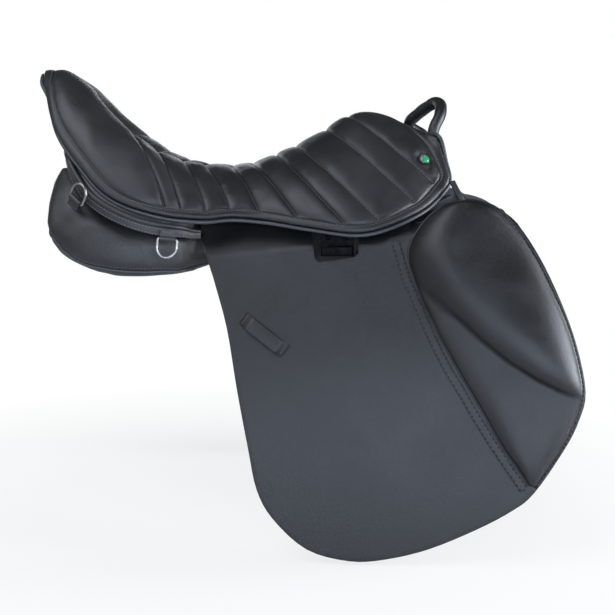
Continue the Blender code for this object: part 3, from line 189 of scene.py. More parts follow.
# Rings of the left side: name, middle of the bar, its direction, the bow's direction
RINGS = (
    ("upper", (-0.187, 0.1335, 0.07), (0.67, 0.5, -0.55), (0.36, 0.3, 0.87)),
    ("lower", (-0.087, 0.1555, 0.03), (1, -0.12, -0.12), (0.02, 0.1, -1)),
)
RING_WIRE, RING_WIDTH, RING_DEPTH, RING_CORNER = 0.0016, 0.0242, 0.0215, 0.0028
TAB_HOLE, TAB_WALL, TAB_TONGUE, TAB_LENGTH = 0.0022, 0.0015, 0.0072, 0.0165

# Sweat flap and girth straps
SWEAT_EDGE = (
    (-0.028, 0.002), (-0.012, -0.05), (0.002, -0.12), (0.016, -0.19), (0.028, -0.234), (0.06, -0.268),
    (0.11, -0.284), (0.18, -0.272), (0.24, -0.246), (0.272, -0.214), (0.262, -0.16), (0.24, -0.1),
    (0.22, -0.04), (0.206, 0.016),
)
SWEAT_THICKNESS = 0.0026
# How far the sweat flap lies inside the flap, more under the fold line than below it
SWEAT_GAP, SWEAT_TUCK, SWEAT_EASE = 0.0165, 0.0090, 0.025
BILLETS = (("rear", 0.034), ("front", 0.094))
BILLET_WIDTH, BILLET_THICKNESS, BILLET_GAP = 0.0260, 0.0038, 0.0098
BILLET_TOP, BILLET_BOTTOM = -0.006, -0.252
HOLES, HOLE_START, HOLE_PITCH, HOLE_RADIUS = 7, 0.014, 0.025, 0.0023

# Lights: name, place, what it faces, size, power, colour
LIGHTS = (
    ("window_light", (0.35, -2.2, 0.3), (0.05, 0, -0.03), (2.4, 0.6), 31, (0.7, 0.81, 1)),
    ("left_light", (-0.95, -0.75, 1.6), (-0.05, -0.05, 0.08), (1.7, 1.7), 30, (0.84, 0.9, 1)),
    ("side_light", (1.9, -0.3, 0.3), (0.28, -0.14, -0.02), (0.9, 1.3), 60, (0.85, 0.91, 1)),
    ("top_light", (0.3, 0.2, 1.7), (0, 0, 0), (1.6, 1.6), 0.6, (1, 1, 1)),
    ("far_window_light", (-0.5, 2.2, 0.35), (0, 0, 0), (1.6, 0.8), 10, (0.85, 0.92, 1)),
)

# Floor, and the camera: its turn and rise in degrees, and its focal length in pixels of the picture
FLOOR_LEVEL = -0.3095
CAMERA_ANGLES, CAMERA_DISTANCE, CAMERA_FOCUS = (-1.5, 8.5), 1.35, 1208.25
CAMERA_TARGET = (0.0642, -0.1156, -0.0508)
SENSOR, PICTURE_WIDTH = 36.0, 615


# Small tools
def set_all(thing, **settings):
    for name, value in settings.items():
        setattr(thing, name, value)


def linked(name, data):
    """A new object in the scene."""
    made = bpy.data.objects.new(name, data)
    bpy.context.scene.collection.objects.link(made)
    return made


def active(piece):
    bpy.ops.object.select_all(action="DESELECT")
    piece.select_set(True)
    bpy.context.view_layer.objects.active = piece


def modified(piece, kind, **settings):
    """Give a piece a modifier with these settings, and apply it."""
    modifier = piece.modifiers.new(kind, kind)
    set_all(modifier, **settings)
    active(piece)
    bpy.ops.object.modifier_apply(modifier=modifier.name)


def rounded_edges(piece, width, segments=2, angle=50):
    """Round the edges that are sharper than an angle."""
    limit = radians(angle)
    modified(piece, "BEVEL", width=width, segments=segments, limit_method="ANGLE", angle_limit=limit)


def merged(piece, threshold, turn=False, flatten=False):
    """Merge points that coincide. turn faces it outwards, and flatten joins faces that lie in one plane."""
    active(piece)
    bpy.ops.object.mode_set(mode="EDIT")
    bpy.ops.mesh.select_all(action="SELECT")
    bpy.ops.mesh.remove_doubles(threshold=threshold)
    if turn:
        bpy.ops.mesh.normals_make_consistent(inside=False)
    if flatten:
        bpy.ops.mesh.dissolve_limited(angle_limit=radians(1))
    bpy.ops.object.mode_set(mode="OBJECT")


def mesh_piece(name, points, faces, closed=True):
    """A new piece from points and faces, which look outwards if it is closed."""
    mesh = bpy.data.meshes.new(name)
    mesh.from_pydata([tuple(p) for p in points], [], [tuple(f) for f in faces])
    if closed:
        shape = bmesh.new()
        shape.from_mesh(mesh)
        bmesh.ops.recalc_face_normals(shape, faces=shape.faces)
        shape.to_mesh(mesh)
        shape.free()
    return linked(name, mesh)


def copy_of(node, name):
    """A free copy of a solid's own mesh."""
    piece = nodes[node].copy()
    piece.data = nodes[node].data.copy()
    piece.name = name
    piece.parent = None
    for key in list(piece.keys()):
        del piece[key]
    bpy.context.scene.collection.objects.link(piece)
    return piece


def places_of(piece):
    return np.array([v.co for v in piece.data.vertices])


def move_to(piece, places):
    piece.data.vertices.foreach_set("co", places.astype(np.float32).ravel())
    piece.data.update()


def attribute(piece, name, values):
    """Keep one number for each point of a piece, for its material to read."""
    made = piece.data.attributes.new(name, "FLOAT", "POINT")
    made.data.foreach_set("value", np.asarray(values, np.float32))


def dress(piece, body, slot, finish=None, angle=180, wear_and_highlight=None):
    """Give a finished piece its worn and highlit marks, its material, taken from its slot unless a finish
    is given, its shading and its body.
    """
    if wear_and_highlight is not None:
        attribute(piece, "wear_and_highlight", np.full(len(piece.data.vertices), wear_and_highlight))
    piece.data.materials.clear()
    piece.data.materials.append(finish or FINISHES[slot])
    active(piece)
    if angle >= 180:
        bpy.ops.object.shade_smooth()
    else:
        bpy.ops.object.shade_smooth_by_angle(angle=radians(angle))
    if body:
        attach(piece, body)


def between(a, b, c, d, u):
    """The place at share u between b and c, on a smooth curve through all four."""
    return 0.5 * (2 * b + (c - a) * u + (2 * a - 5 * b + 4 * c - d) * u**2 + (3 * b - a - 3 * c + d) * u**3)


def curve_through(points, per_span):
    """A smooth curve through the points."""
    points = [np.array(p, float) for p in points]
    ends = [2 * points[0] - points[1], *points, 2 * points[-1] - points[-2]]
    spans = zip(ends, ends[1:], ends[2:], ends[3:])
    found = [between(*span, step / per_span) for span in spans for step in range(per_span)]
    return np.array([*found, points[-1]])


def run_of(path):
    """The distance along a path at each of its points."""
    return np.concatenate([[0], np.cumsum(np.linalg.norm(np.diff(path, axis=0), axis=1))])


def sampled(path, run, at):
    """A path's values at some distances along it."""
    return np.stack([np.interp(at, run, path[:, k]) for k in range(path.shape[1])], axis=-1)


def evenly(path, count):
    """Points at even steps along a path."""
    path = np.asarray(path, float)
    run = run_of(path)
    return sampled(path, run, np.linspace(0, run[-1], count))


def mirrored(half):
    """A path that goes on, after its last point in the middle, as its own mirror image."""
    return np.concatenate([half, (half * (1, -1, 1))[-2::-1]])


def unit(values):
    return values / np.maximum(np.linalg.norm(values, axis=-1, keepdims=True), 1e-9)


def square_to(values, along):
    """Directions with what lies along the path taken out."""
    return unit(values - (values * along).sum(-1, keepdims=True) * along)


def upward(out, along):
    """Directions square to both, turned up."""
    up = np.cross(out, along)
    up[up[:, 2] < 0] *= -1
    return up


def smooth_step(value):
    value = np.clip(value, 0, 1)
    return value * value * (3 - 2 * value)


def bell(distance, width):
    """1 at no distance, falling softly away over the width."""
    return np.exp(-((distance / width) ** 2))


def with_neighbours(values):
    """Twice each value of a grid and once each of its four neighbours."""
    wide = np.pad(values, ((1, 1), (1, 1), (0, 0))[: values.ndim], mode="edge")
    return values * 2 + wide[:-2, 1:-1] + wide[2:, 1:-1] + wide[1:-1, :-2] + wide[1:-1, 2:]


def away_from(targets, points):
    """The distance from each point to the nearest target."""
    tree = KDTree(len(targets))
    for index, target in enumerate(targets):
        tree.insert(target, index)
    tree.balance()
    return np.array([tree.find(point)[2] for point in points])


def waves(x, y, length, seed):
    """Soft uneven waves over two coordinates, from about -1 to 1."""
    random = np.random.default_rng(seed)
    total = np.zeros(np.broadcast(x, y).shape)
    for _ in range(7):
        angle = random.uniform(0, 2 * pi)
        size = length * random.uniform(0.6, 1.7)
        start = random.uniform(0, 2 * pi)
        total = total + np.sin(2 * pi * (x * cos(angle) + y * sin(angle)) / size + start)
    return total / 3.5


def closed_grid(name, outer, inner):
    """A closed piece between two grids of points with the same rows and columns."""
    outer, inner = np.asarray(outer), np.asarray(inner)
    rows, columns = outer.shape[:2]
    half = rows * columns
    index = np.arange(half).reshape(rows, columns)
    corners = index[:-1, :-1], index[:-1, 1:], index[1:, 1:], index[1:, :-1]
    quads = np.stack(corners, axis=-1).reshape(-1, 4)
    edge = [*index[0, :], *index[1:, -1], *index[-1, -2::-1], *index[-2:0:-1, 0]]
    rim = [(a, a + half, b + half, b) for a, b in zip(edge, edge[1:] + edge[:1])]
    faces = [*quads.tolist(), *(quads[:, ::-1] + half).tolist(), *rim]
    return mesh_piece(name, np.concatenate([outer.reshape(-1, 3), inner.reshape(-1, 3)]), faces)


def tube_faces(rings, sides):
    """Faces of a capped tube whose points lie in rings of so many sides."""
    index = np.arange(rings * sides).reshape(rings, sides)
    after = np.roll(index, -1, axis=1)
    faces = np.stack([index[:-1], after[:-1], after[1:], index[1:]], axis=-1).reshape(-1, 4).tolist()
    return [*faces, index[0][::-1].tolist(), index[-1].tolist()]


def cord_piece(name, path, radius, closed=False, resolution=3):
    """A round cord along a path, made as a curve with a bevel. radius may change along it."""
    curve = bpy.data.curves.new(name, "CURVE")
    set_all(curve, dimensions="3D", bevel_depth=1.0, bevel_resolution=resolution, use_fill_caps=True)
    spline = curve.splines.new("POLY")
    spline.points.add(len(path) - 1)
    for point, place, size in zip(spline.points, path, np.broadcast_to(radius, (len(path),))):
        point.co = (*place, 1.0)
        point.radius = size
    spline.use_cyclic_u = closed
    active(linked(name, curve))
    bpy.ops.object.convert(target="MESH")
    piece = bpy.context.active_object
    piece.name = name
    merged(piece, 0.00001, turn=True)
    return piece


def swept(name, path, outwards, profile, reach=1.0):
    """A bar of one profile along a path. The profile's x points outwards and its y up.

    reach is the share of its full height that the profile has, all along or at each point.
    """
    along = unit(np.gradient(path, axis=0))
    out = square_to(outwards, along)
    profile = np.asarray(profile)
    height = profile[None, :, 1:2] * np.broadcast_to(reach, len(path))[:, None, None]
    points = path[:, None] + profile[None, :, :1] * out[:, None] + height * upward(out, along)[:, None]
    return mesh_piece(name, points.reshape(-1, 3), tube_faces(len(path), len(profile)))


def rounded_profile(width, height, radius, corner=4):
    """A rounded rectangle from x = 0 outwards, centred in y."""
    points = []
    far, high = width - radius, height / 2 - radius
    for x, y, start in ((far, high, 0), (radius, high, 90), (radius, -high, 180), (far, -high, 270)):
        for step in range(corner + 1):
            angle = radians(start + 90 * step / corner)
            points.append((x + radius * cos(angle), y + radius * sin(angle)))
    return points


# Along a stitch: share of its length, share of its radius, height in radii
STITCH_RINGS = ((0, 0.35, -0.9), (0.12, 0.85, -0.25), (0.5, 1, 0.15), (0.88, 0.85, -0.25), (1, 0.35, -0.9))
STITCH_SIDES = 6


def stitches(
    name, path, ups, body, slot, pitch=0.0036, length=0.0026, radius=0.00042, lift=0.0, finish=None
):
    """A row of thread stitches along a path, each a short rounded bar that dips into its holes."""
    path = np.asarray(path, float)
    run = run_of(path)
    count = max(1, int(run[-1] / pitch))
    middles = (np.arange(count) + 0.5) * run[-1] / count
    start, end = (sampled(path, run, middles + shift) for shift in (-length / 2, length / 2))
    along = unit(end - start)
    side = unit(np.cross(along, unit(sampled(np.asarray(ups, float), run, middles))))
    up = np.cross(side, along)
    points = []
    for share, size, height in STITCH_RINGS:
        centre = start + (end - start) * share + up * (radius * height + lift)
        for step in range(STITCH_SIDES):
            angle = 2 * pi * step / STITCH_SIDES
            points.append(centre + radius * size * (cos(angle) * side + sin(angle) * up))
    points = np.array(points).transpose(1, 0, 2)
    per = points.shape[1]
    one = tube_faces(len(STITCH_RINGS), STITCH_SIDES)
    faces = [[corner + per * k for corner in face] for k in range(count) for face in one]
    dress(mesh_piece(name, points.reshape(-1, 3), faces), body, slot, finish or thread)


def snapped(piece, path):
    """Points of a path moved to the nearest place on a piece, and the surface's direction there."""
    shape = bmesh.new()
    shape.from_mesh(piece.data)
    tree = BVHTree.FromBMesh(shape)
    shape.free()
    found = np.array([tree.find_nearest(Vector(point))[:2] for point in path])
    return found[:, 0], found[:, 1]


CLOTH_FRAMES, CLOTH_REACH, CLOTH_STIFFNESS = 14, 0.004, 25.0


def inflate(piece, pinned, pressure):
    """Blow the leather up over its stuffing by cloth simulation, and keep the result in the mesh."""
    rest = places_of(piece)
    piece.vertex_groups.new(name="pin").add(np.nonzero(pinned)[0].tolist(), 1.0, "REPLACE")
    cloth = piece.modifiers.new("Cloth", "CLOTH")
    set_all(
        cloth.settings,
        quality=5,
        mass=0.3,
        tension_stiffness=CLOTH_STIFFNESS,
        compression_stiffness=CLOTH_STIFFNESS,
        shear_stiffness=CLOTH_STIFFNESS * 0.4,
        bending_stiffness=0.6,
        use_pressure=True,
        uniform_pressure_force=pressure,
        vertex_group_mass="pin",
    )
    cloth.settings.effector_weights.gravity = 0
    set_all(cloth.collision_settings, use_self_collision=False, use_collision=False)
    scene = bpy.context.scene
    for step in range(1, CLOTH_FRAMES + 1):
        scene.frame_set(step)
    found = places_of(piece.evaluated_get(bpy.context.evaluated_depsgraph_get()))
    piece.modifiers.remove(cloth)
    piece.vertex_groups.clear()
    scene.frame_set(1)
    move = np.nan_to_num(found - rest)
    size = np.linalg.norm(move, axis=1, keepdims=True)
    move_to(piece, rest + move * np.minimum(1, CLOTH_REACH / np.maximum(size, 1e-9)))


# Materials
class Build:
    """The nodes of one material, node group or world."""

    def __init__(self, tree):
        self.tree = tree

    def feed(self, socket, value):
        """Give a socket a plain value, or link it to another node's output."""
        if isinstance(value, bpy.types.NodeSocket):
            self.tree.links.new(value, socket)
        else:
            socket.default_value = value

    def node(self, kind, inputs=(), **settings):
        made = self.tree.nodes.new("ShaderNode" + kind)
        set_all(made, **settings)
        for socket, value in dict(inputs).items():
            self.feed(made.inputs[socket], value)
        return made

    def place(self):
        return self.node("TexCoord").outputs["Object"]

    def kept(self, name):
        """The numbers that a piece keeps under a name."""
        return self.node("Attribute", attribute_name=name).outputs["Fac"]

    def maths(self, operation, one, two=0.5, clamp=False):
        return self.node("Math", {0: one, 1: two}, operation=operation, use_clamp=clamp).outputs[0]

    def add(self, one, two, clamp=False):
        return self.maths("ADD", one, two, clamp)

    def times(self, one, two, clamp=False):
        return self.maths("MULTIPLY", one, two, clamp)

    def noise(self, vector, scale, detail=4.0, roughness=0.55):
        inputs = {"Vector": vector, "Scale": scale, "Detail": detail, "Roughness": roughness}
        return self.node("TexNoise", inputs).outputs["Fac"]

    def ramp(self, value, low, high):
        """0 at low, 1 at high."""
        inputs = {"Value": value, "From Min": low, "From Max": high}
        return self.node("MapRange", inputs).outputs["Result"]

    def mix(self, share, one, two):
        """A blend of two colours."""
        made = self.node("Mix", {"Factor": share}, data_type="RGBA")
        for socket, value in zip([s for s in made.inputs if s.type == "RGBA"], (one, two)):
            self.feed(socket, (*value, 1.0) if isinstance(value, tuple) else value)
        return [s for s in made.outputs if s.type == "RGBA"][0]

    def surface(self, height, strength, distance, inputs):
        """Feed the material's shader, and give it its fine relief."""
        bump = self.node("Bump", {"Height": height, "Strength": strength, "Distance": distance})
        shader = self.tree.nodes["Principled BSDF"]
        for name, value in {**inputs, "Normal": bump.outputs["Normal"]}.items():
            self.feed(shader.inputs[name], value)

    def show(self, output, share, one, two):
        """Send a mix of two shaders to the output."""
        mix = self.node("MixShader", {0: share, 1: one.outputs[0], 2: two.outputs[0]})
        self.node(output, {"Surface": mix.outputs[0]})


def new_material(name):
    made = bpy.data.materials.new(name)
    made.use_nodes = True
    return made, Build(made.node_tree)


def make_grain():
    """Fine pebbled leather grain with pores and creases, and slow patches of tone."""
    tree = bpy.data.node_groups.new("leather_grain", "ShaderNodeTree")
    for label in ("Scale", "Creases"):
        tree.interface.new_socket(label, in_out="INPUT", socket_type="NodeSocketFloat")
    for label in ("Height", "Patches", "Scuffs"):
        tree.interface.new_socket(label, in_out="OUTPUT", socket_type="NodeSocketFloat")
    inside, outside = tree.nodes.new("NodeGroupInput"), tree.nodes.new("NodeGroupOutput")
    build = Build(tree)
    place = build.place()
    warp = build.node("TexNoise", {"Vector": place, "Scale": 260.0}).outputs["Color"]
    shifts = {0: warp, 1: (0.0012, 0.0012, 0.0012), 2: place}
    shifted = build.node("VectorMath", shifts, operation="MULTIPLY_ADD").outputs[0]
    cells = {"Vector": shifted, "Scale": inside.outputs["Scale"]}
    cells = build.node("TexVoronoi", cells, feature="DISTANCE_TO_EDGE").outputs["Distance"]
    pores = build.noise(place, 2600.0, 2.0)
    crease = build.maths("SUBTRACT", build.noise(shifted, 150.0, 5.0, 0.6), 0.5)
    crease = build.ramp(build.maths("ABSOLUTE", crease), 0.0, 0.06)
    height = build.add(build.times(build.ramp(cells, 0.0, 0.22), 0.65), build.times(pores, 0.3))
    height = build.add(height, build.times(crease, inside.outputs["Creases"]))
    build.feed(outside.inputs["Height"], height)
    patches = build.noise(place, 14.0, 5.0, 0.6)
    build.feed(outside.inputs["Patches"], build.ramp(patches, 0.32, 0.68))
    scuffs = build.noise(shifted, 420.0, 6.0, 0.72)
    build.feed(outside.inputs["Scuffs"], build.ramp(scuffs, 0.60, 0.74))
    return tree


grain = make_grain()
# The first colour is for lighter scuffs where a piece is marked as worn, which on the beads also paint a
# highlight; the second is painted shade, the near-black that the seat's grooves are darkened towards.
WORN_AND_HIGHLIGHT_COLOUR, GROOVE_SHADE_COLOUR = (0.10, 0.10, 0.11), (0.004, 0.004, 0.005)


def leather(name, dark, light, roughness, scale, depth, creases=0.4, brown=None):
    """Dyed leather: patchy tone, pebbled grain, lighter scuffs where a piece is marked as worn, which on
    the beads also paint a highlight, and painted shade in the grooves that a piece marks.
    """
    made, build = new_material(name)
    found = build.node("Group", {"Scale": scale, "Creases": creases}, node_tree=grain)
    patches = found.outputs["Patches"]
    # Scuffs where a piece is marked as worn; on the beads they also stand for painted highlight.
    rubbed_and_highlit = build.times(build.kept("wear_and_highlight"), found.outputs["Scuffs"], True)
    groove_shade = build.kept("groove_shade")
    colour = build.mix(rubbed_and_highlit, build.mix(patches, dark, light), WORN_AND_HIGHLIGHT_COLOUR)
    # Painted shade: the grooves that a piece marks are darkened towards a near-black colour; the same mark
    # also makes them rougher.
    colour = build.mix(build.times(groove_shade, 0.45), colour, GROOVE_SHADE_COLOUR)
    if brown:
        colour = build.mix(build.kept("under"), colour, brown)
    rough = build.add(build.times(patches, 0.14), roughness - 0.07)
    rough = build.add(rough, build.times(rubbed_and_highlit, 0.18), True)
    rough = build.add(rough, build.times(groove_shade, 0.15), True)
    build.surface(found.outputs["Height"], 0.7, depth, {"Base Color": colour, "Roughness": rough})
    return made


def metal(name, colour, roughness, streaks=0.08):
    """Steel with fine drawn streaks and a little tarnish."""
    made, build = new_material(name)
    place = build.place()
    tarnish = build.ramp(build.noise(place, 240.0, 6.0, 0.65), 0.42, 0.70)
    fine = build.noise(place, 1800.0, 3.0)
    rough = build.add(build.times(fine, streaks * 2), roughness - streaks)
    rough = build.add(rough, build.times(tarnish, 0.12), True)
    colour = build.mix(tarnish, colour, tuple(0.62 * c for c in colour))
    build.surface(fine, 0.25, 0.0001, {"Base Color": colour, "Roughness": rough, "Metallic": 1.0})
    return made


def woven(name, dark, light, scale):
    """Woven web: bands of crossing yarns."""
    made, build = new_material(name)
    inputs = {"Vector": build.place(), "Scale": scale, "Distortion": 0.6}
    yarns = [build.node("TexWave", inputs, bands_direction=way).outputs["Fac"] for way in ("X", "Z")]
    weave = build.maths("MAXIMUM", *yarns)
    colour = build.mix(weave, dark, light)
    build.surface(weave, 1.0, 0.0004, {"Base Color": colour, "Roughness": 0.85, "Sheen Weight": 0.2})
    return made


def plain(name, colour, roughness, scale, depth, coat=0.0, vary=0.25):
    """Moulded or enamelled finish: slight mottling and a fine uneven surface."""
    made, build = new_material(name)
    place = build.place()
    mottle = build.ramp(build.noise(place, scale * 0.3), 0.3, 0.7)
    colour = build.mix(mottle, tuple(c * (1 - vary) for c in colour), colour)
    inputs = {"Base Color": colour, "Roughness": roughness, "Coat Weight": coat}
    build.surface(build.noise(place, scale), 0.4, depth, inputs)
    return made


def thread_of(name, dark, light, roughness):
    return leather(name, dark, light, roughness, 2400.0, 0.00008)


thread = thread_of("black_thread", (0.070, 0.070, 0.076), (0.115, 0.116, 0.124), 0.55)
dark_thread = thread_of("dark_thread", (0.0015, 0.0015, 0.0018), (0.0030, 0.0030, 0.0034), 0.75)
worn_thread = thread_of("worn_thread", (0.110, 0.112, 0.120), (0.170, 0.172, 0.180), 0.60)
# Painted highlight: the beads' leather is lighter than the seat's, standing for the light along their
# rounded tops.
bead_leather_painted_highlight = leather("bead_leather_painted_highlight", (0.040, 0.042, 0.048), (0.060, 0.063, 0.070), 0.36, 1400.0, 0.00006)
steel = metal("bright_steel", (0.36, 0.35, 0.34), 0.30)
# Painted light: seat_leather and panel_leather have lighter base colours than flap_leather, so that the
# seat and the panels look more brightly lit.
LEATHERS = {
    "seat_leather": ((0.0130, 0.0127, 0.0132), (0.0205, 0.0201, 0.0214), 0.42, 820.0, 0.00009),
    "flap_leather": ((0.0066, 0.0066, 0.0070), (0.0130, 0.0132, 0.0146), 0.39, 1150.0, 0.00010, 0.55),
    "panel_leather": (
        (0.0165, 0.0160, 0.0160), (0.0270, 0.0262, 0.0272), 0.38, 900.0, 0.00014, 0.4,
        (0.060, 0.038, 0.026),
    ),
    "strap_leather": ((0.022, 0.016, 0.013), (0.036, 0.027, 0.021), 0.55, 1000.0, 0.00012),
}
FINISHES = {
    **{name: leather(name, *values) for name, values in LEATHERS.items()},
    "foam": plain("seat_foam", (0.050, 0.050, 0.052), 0.95, 2200.0, 0.0005),
    "tree_plastic": plain("tree_plastic", (0.030, 0.030, 0.032), 0.55, 1400.0, 0.0002),
    # Near-black steel: a black finish, made darker in part as painted shade, so that the stirrup bars and
    # their plates look shaded in the recess under the seat's skirt.
    "steel": metal("forged_steel", (0.010, 0.010, 0.011), 0.55, 0.12),
    "webbing": woven("girth_webbing", (0.012, 0.012, 0.013), (0.040, 0.040, 0.043), 260.0),
    "green_enamel": plain("green_enamel", (0.035, 0.33, 0.14), 0.22, 1500.0, 0.00005, 0.6, 0.35),
}


# Seat
def seat_section(station):
    """The seat's section values at a station, which may lie between two sections."""
    start = min(int(station), LAST - 1)
    rows = [SEAT_SECTIONS[min(max(start + shift, 0), LAST)] for shift in (-1, 0, 1, 2)]
    if start == 0:
        rows[0] = 2 * rows[1] - rows[2]
    if start == LAST - 1:
        rows[3] = 2 * rows[2] - rows[1]
    return between(*rows, station - start)


def seat_line(station):
    """Points from the middle of the seat to its rim at a station."""
    centre_x, centre_z, rim_x, rim_y, rim_z, shoulder, valley = seat_section(station)
    u = np.linspace(0, 1, 48)
    weights = np.array([(1 - u) ** 3, 3 * u * (1 - u) ** 2, 3 * u**2 * (1 - u), u**3])
    lean = 0.25 * (1 - shoulder)
    rise = 0.8 * shoulder * (centre_z - rim_z)
    y = np.array([0, shoulder * rim_y, (1 - lean) * rim_y, rim_y]) @ weights
    z = np.array([centre_z, centre_z, rim_z + rise, rim_z]) @ weights
    slant = REAR_SLANT + (FRONT_SLANT - REAR_SLANT) * smooth_step((station - SLANT_STARTS) / SLANT_SPREAD)
    slant = slant * smooth_step((station - 4) / 3) * smooth_step((LAST - station) / 1.2)
    advance = (1 - slant) * (y / rim_y) ** (1 + max(0.0, station - LAST + 1))
    advance = advance + slant * (centre_z - z) / (centre_z - rim_z)
    x = centre_x + (rim_x - centre_x) * advance
    return np.stack([x, y, z - valley * bell(y, VALLEY_WIDTH)], axis=1)


def seat_places(station, shares):
    """Points at shares of the way from the middle to the rim, negative to the right."""
    line = seat_line(station)
    run = run_of(line)
    found = sampled(line, run, np.abs(shares) * run[-1])
    found[..., 1] *= np.where(shares < 0, -1, 1)
    return found


def seat_rows():
    """Stations of the rows of points, close together at the rim's ends and along every seam."""
    rows = list(np.concatenate([np.linspace(0, 0.62, 20)[:-1], np.linspace(0.62, 5.2, 34)[:-1]]))
    rows += list(5.2 + 0.8 * (1 - (1 - np.linspace(0, 1, 12)[:-1]) ** 1.8))
    clustered = (1 - np.cos(pi * np.linspace(0, 1, 21)[:-1])) / 2
    for seam in SEAMS[:-1]:
        rows += list(seam + 0.35 * np.linspace(0, 1, 21)[:-1] + 0.65 * clustered)
    rows += list(15 + 1.35 * np.linspace(0, 1, 26)[:-1] ** 1.5)
    rows += list(np.linspace(16.35, 17, 22))
    return np.array(rows)


# Distances from the rim of the points beside it, in millimetres
EDGE_STEPS = (
    0, 0.4, 0.9, 1.6, 2.6, 3.8, 5.0, 6.0, 6.7, 7.3, 7.8, 8.3,
    8.8, 9.3, 9.8, 10.4, 11.0, 11.6, 12.3, 13.2, 14.4, 16.0, 18.0, 20.5,
)


def seat_shape():
    """The seat's points at the level of the ribs' tops, and the directions out of it."""
    rows = seat_rows()
    steps = np.array(EDGE_STEPS) / 1000
    grid = []
    for station in rows:
        length = run_of(seat_line(station))[-1]
        inner = (1 - steps[-1] / length) * np.linspace(0, 1, 56)[:-1]
        shares = np.concatenate([inner, 1 - steps[::-1] / length])
        grid.append(seat_places(station, np.concatenate([-shares[:0:-1], shares])))
    grid = np.array(grid)
    out = unit(np.cross(unit(np.gradient(grid, axis=0)), unit(np.gradient(grid, axis=1))))
    for _ in range(8):
        out = unit(with_neighbours(out))
    return rows, grid, out


def border_distance(rows, grid):
    """Distance from the rim, drawn out where the border is narrower, and rounded in its front corners."""
    rim = [grid[:, -1], grid[-1, ::-1], grid[::-1, 0], grid[0]]
    rim = np.concatenate([evenly(line, 900) for line in rim])
    border = away_from(rim, grid.reshape(-1, 3)).reshape(grid.shape[:2])
    narrow = smooth_step((rows - 2.5) / 2.5) * smooth_step((15.2 - rows) / 2.5)
    border *= (1 + NARROWING * narrow)[:, None]
    soft = border.copy()
    for _ in range(CORNER_PASSES):
        soft = with_neighbours(soft) / 6
    share = smooth_step((rows - 14.8) / 0.8)[:, None] * smooth_step((border - 0.004) / 0.005)
    return border + (soft - border) * share


def seam_distance(travel, seams):
    """Distance to the nearest seam, and how far the rib beside it reaches."""
    gaps = np.diff(seams, axis=0) / 2
    before = [np.full_like(seams[0], FIRST_RIB), *gaps]
    after = [*gaps, np.full_like(seams[0], LAST_RIB)]
    distance, reach = np.full(travel.shape, 1.0), np.zeros(travel.shape)
    for seam, behind, ahead in zip(seams, before, after):
        gap = abs(travel - seam)
        nearer = gap < distance
        distance = np.where(nearer, gap, distance)
        reach = np.where(nearer, np.where(travel >= seam, ahead, behind), reach)
    return distance, reach


def quilting(rows, grid):
    """How far each point of the cover lies below the ribs' tops, and how far into a seam it lies."""
    border = border_distance(rows, grid)
    travel, side = np.zeros(grid.shape[:2]), np.zeros(grid.shape[:2])
    travel[1:] = np.cumsum(np.linalg.norm(np.diff(grid, axis=0), axis=2), axis=0)
    side[:, 1:] = np.cumsum(np.linalg.norm(np.diff(grid, axis=1), axis=2), axis=1)
    side -= side[:, side.shape[1] // 2][:, None]
    seam_rows = [int(np.argmin(abs(rows - seam))) for seam in SEAMS]
    distance, reach = seam_distance(travel, travel[seam_rows])
    beyond = border - GROOVE
    seam = (1 - np.clip(distance / np.maximum(reach, 0.004), 0, 1)) ** 2.5
    slit = bell(distance, 0.0011)
    inside = smooth_step(beyond / 0.004)
    edge = (1 - np.clip(beyond / 0.017, 0, 1)) ** 2.2
    closed = 1 - (1 - seam) * (1 - edge)
    ease = 1 - 0.38 * smooth_step((rows - 10.5) / 3.0)[:, None]
    deep_seam = SEAM_DEPTH * ease * closed * (0.55 + 0.45 * seam)
    depth = inside * (deep_seam + 0.0011 * ease * slit * (1 - edge * 0.4) - 0.0008)
    depth += 0.0015 * bell(beyond, 0.0010)
    depth += (1 - inside) * (0.0008 - 0.0006 * np.cos((border / BORDER - 0.5) * pi).clip(0))
    depth += 0.0016 * (1 - np.sqrt(1 - (1 - np.clip(border / 0.0024, 0, 1)) ** 2))
    # puckers that run out of the seams, and slow unevenness of the stuffing
    pucker = waves(side, travel * 0.22, 0.0085, 3) * np.exp(-distance / 0.006)
    pucker += waves(travel * 0.9, side * 0.9, 0.011, 4) * np.exp(-beyond.clip(0) / 0.008) * 0.8
    pucker *= inside * smooth_step((abs(side) - 0.045) / 0.035) * (1 - 0.8 * slit)
    depth += PUCKER * pucker + UNEVEN_STUFFING * waves(side, travel, 0.055, 5) * inside
    return depth, seam * inside, border, seam_rows, distance


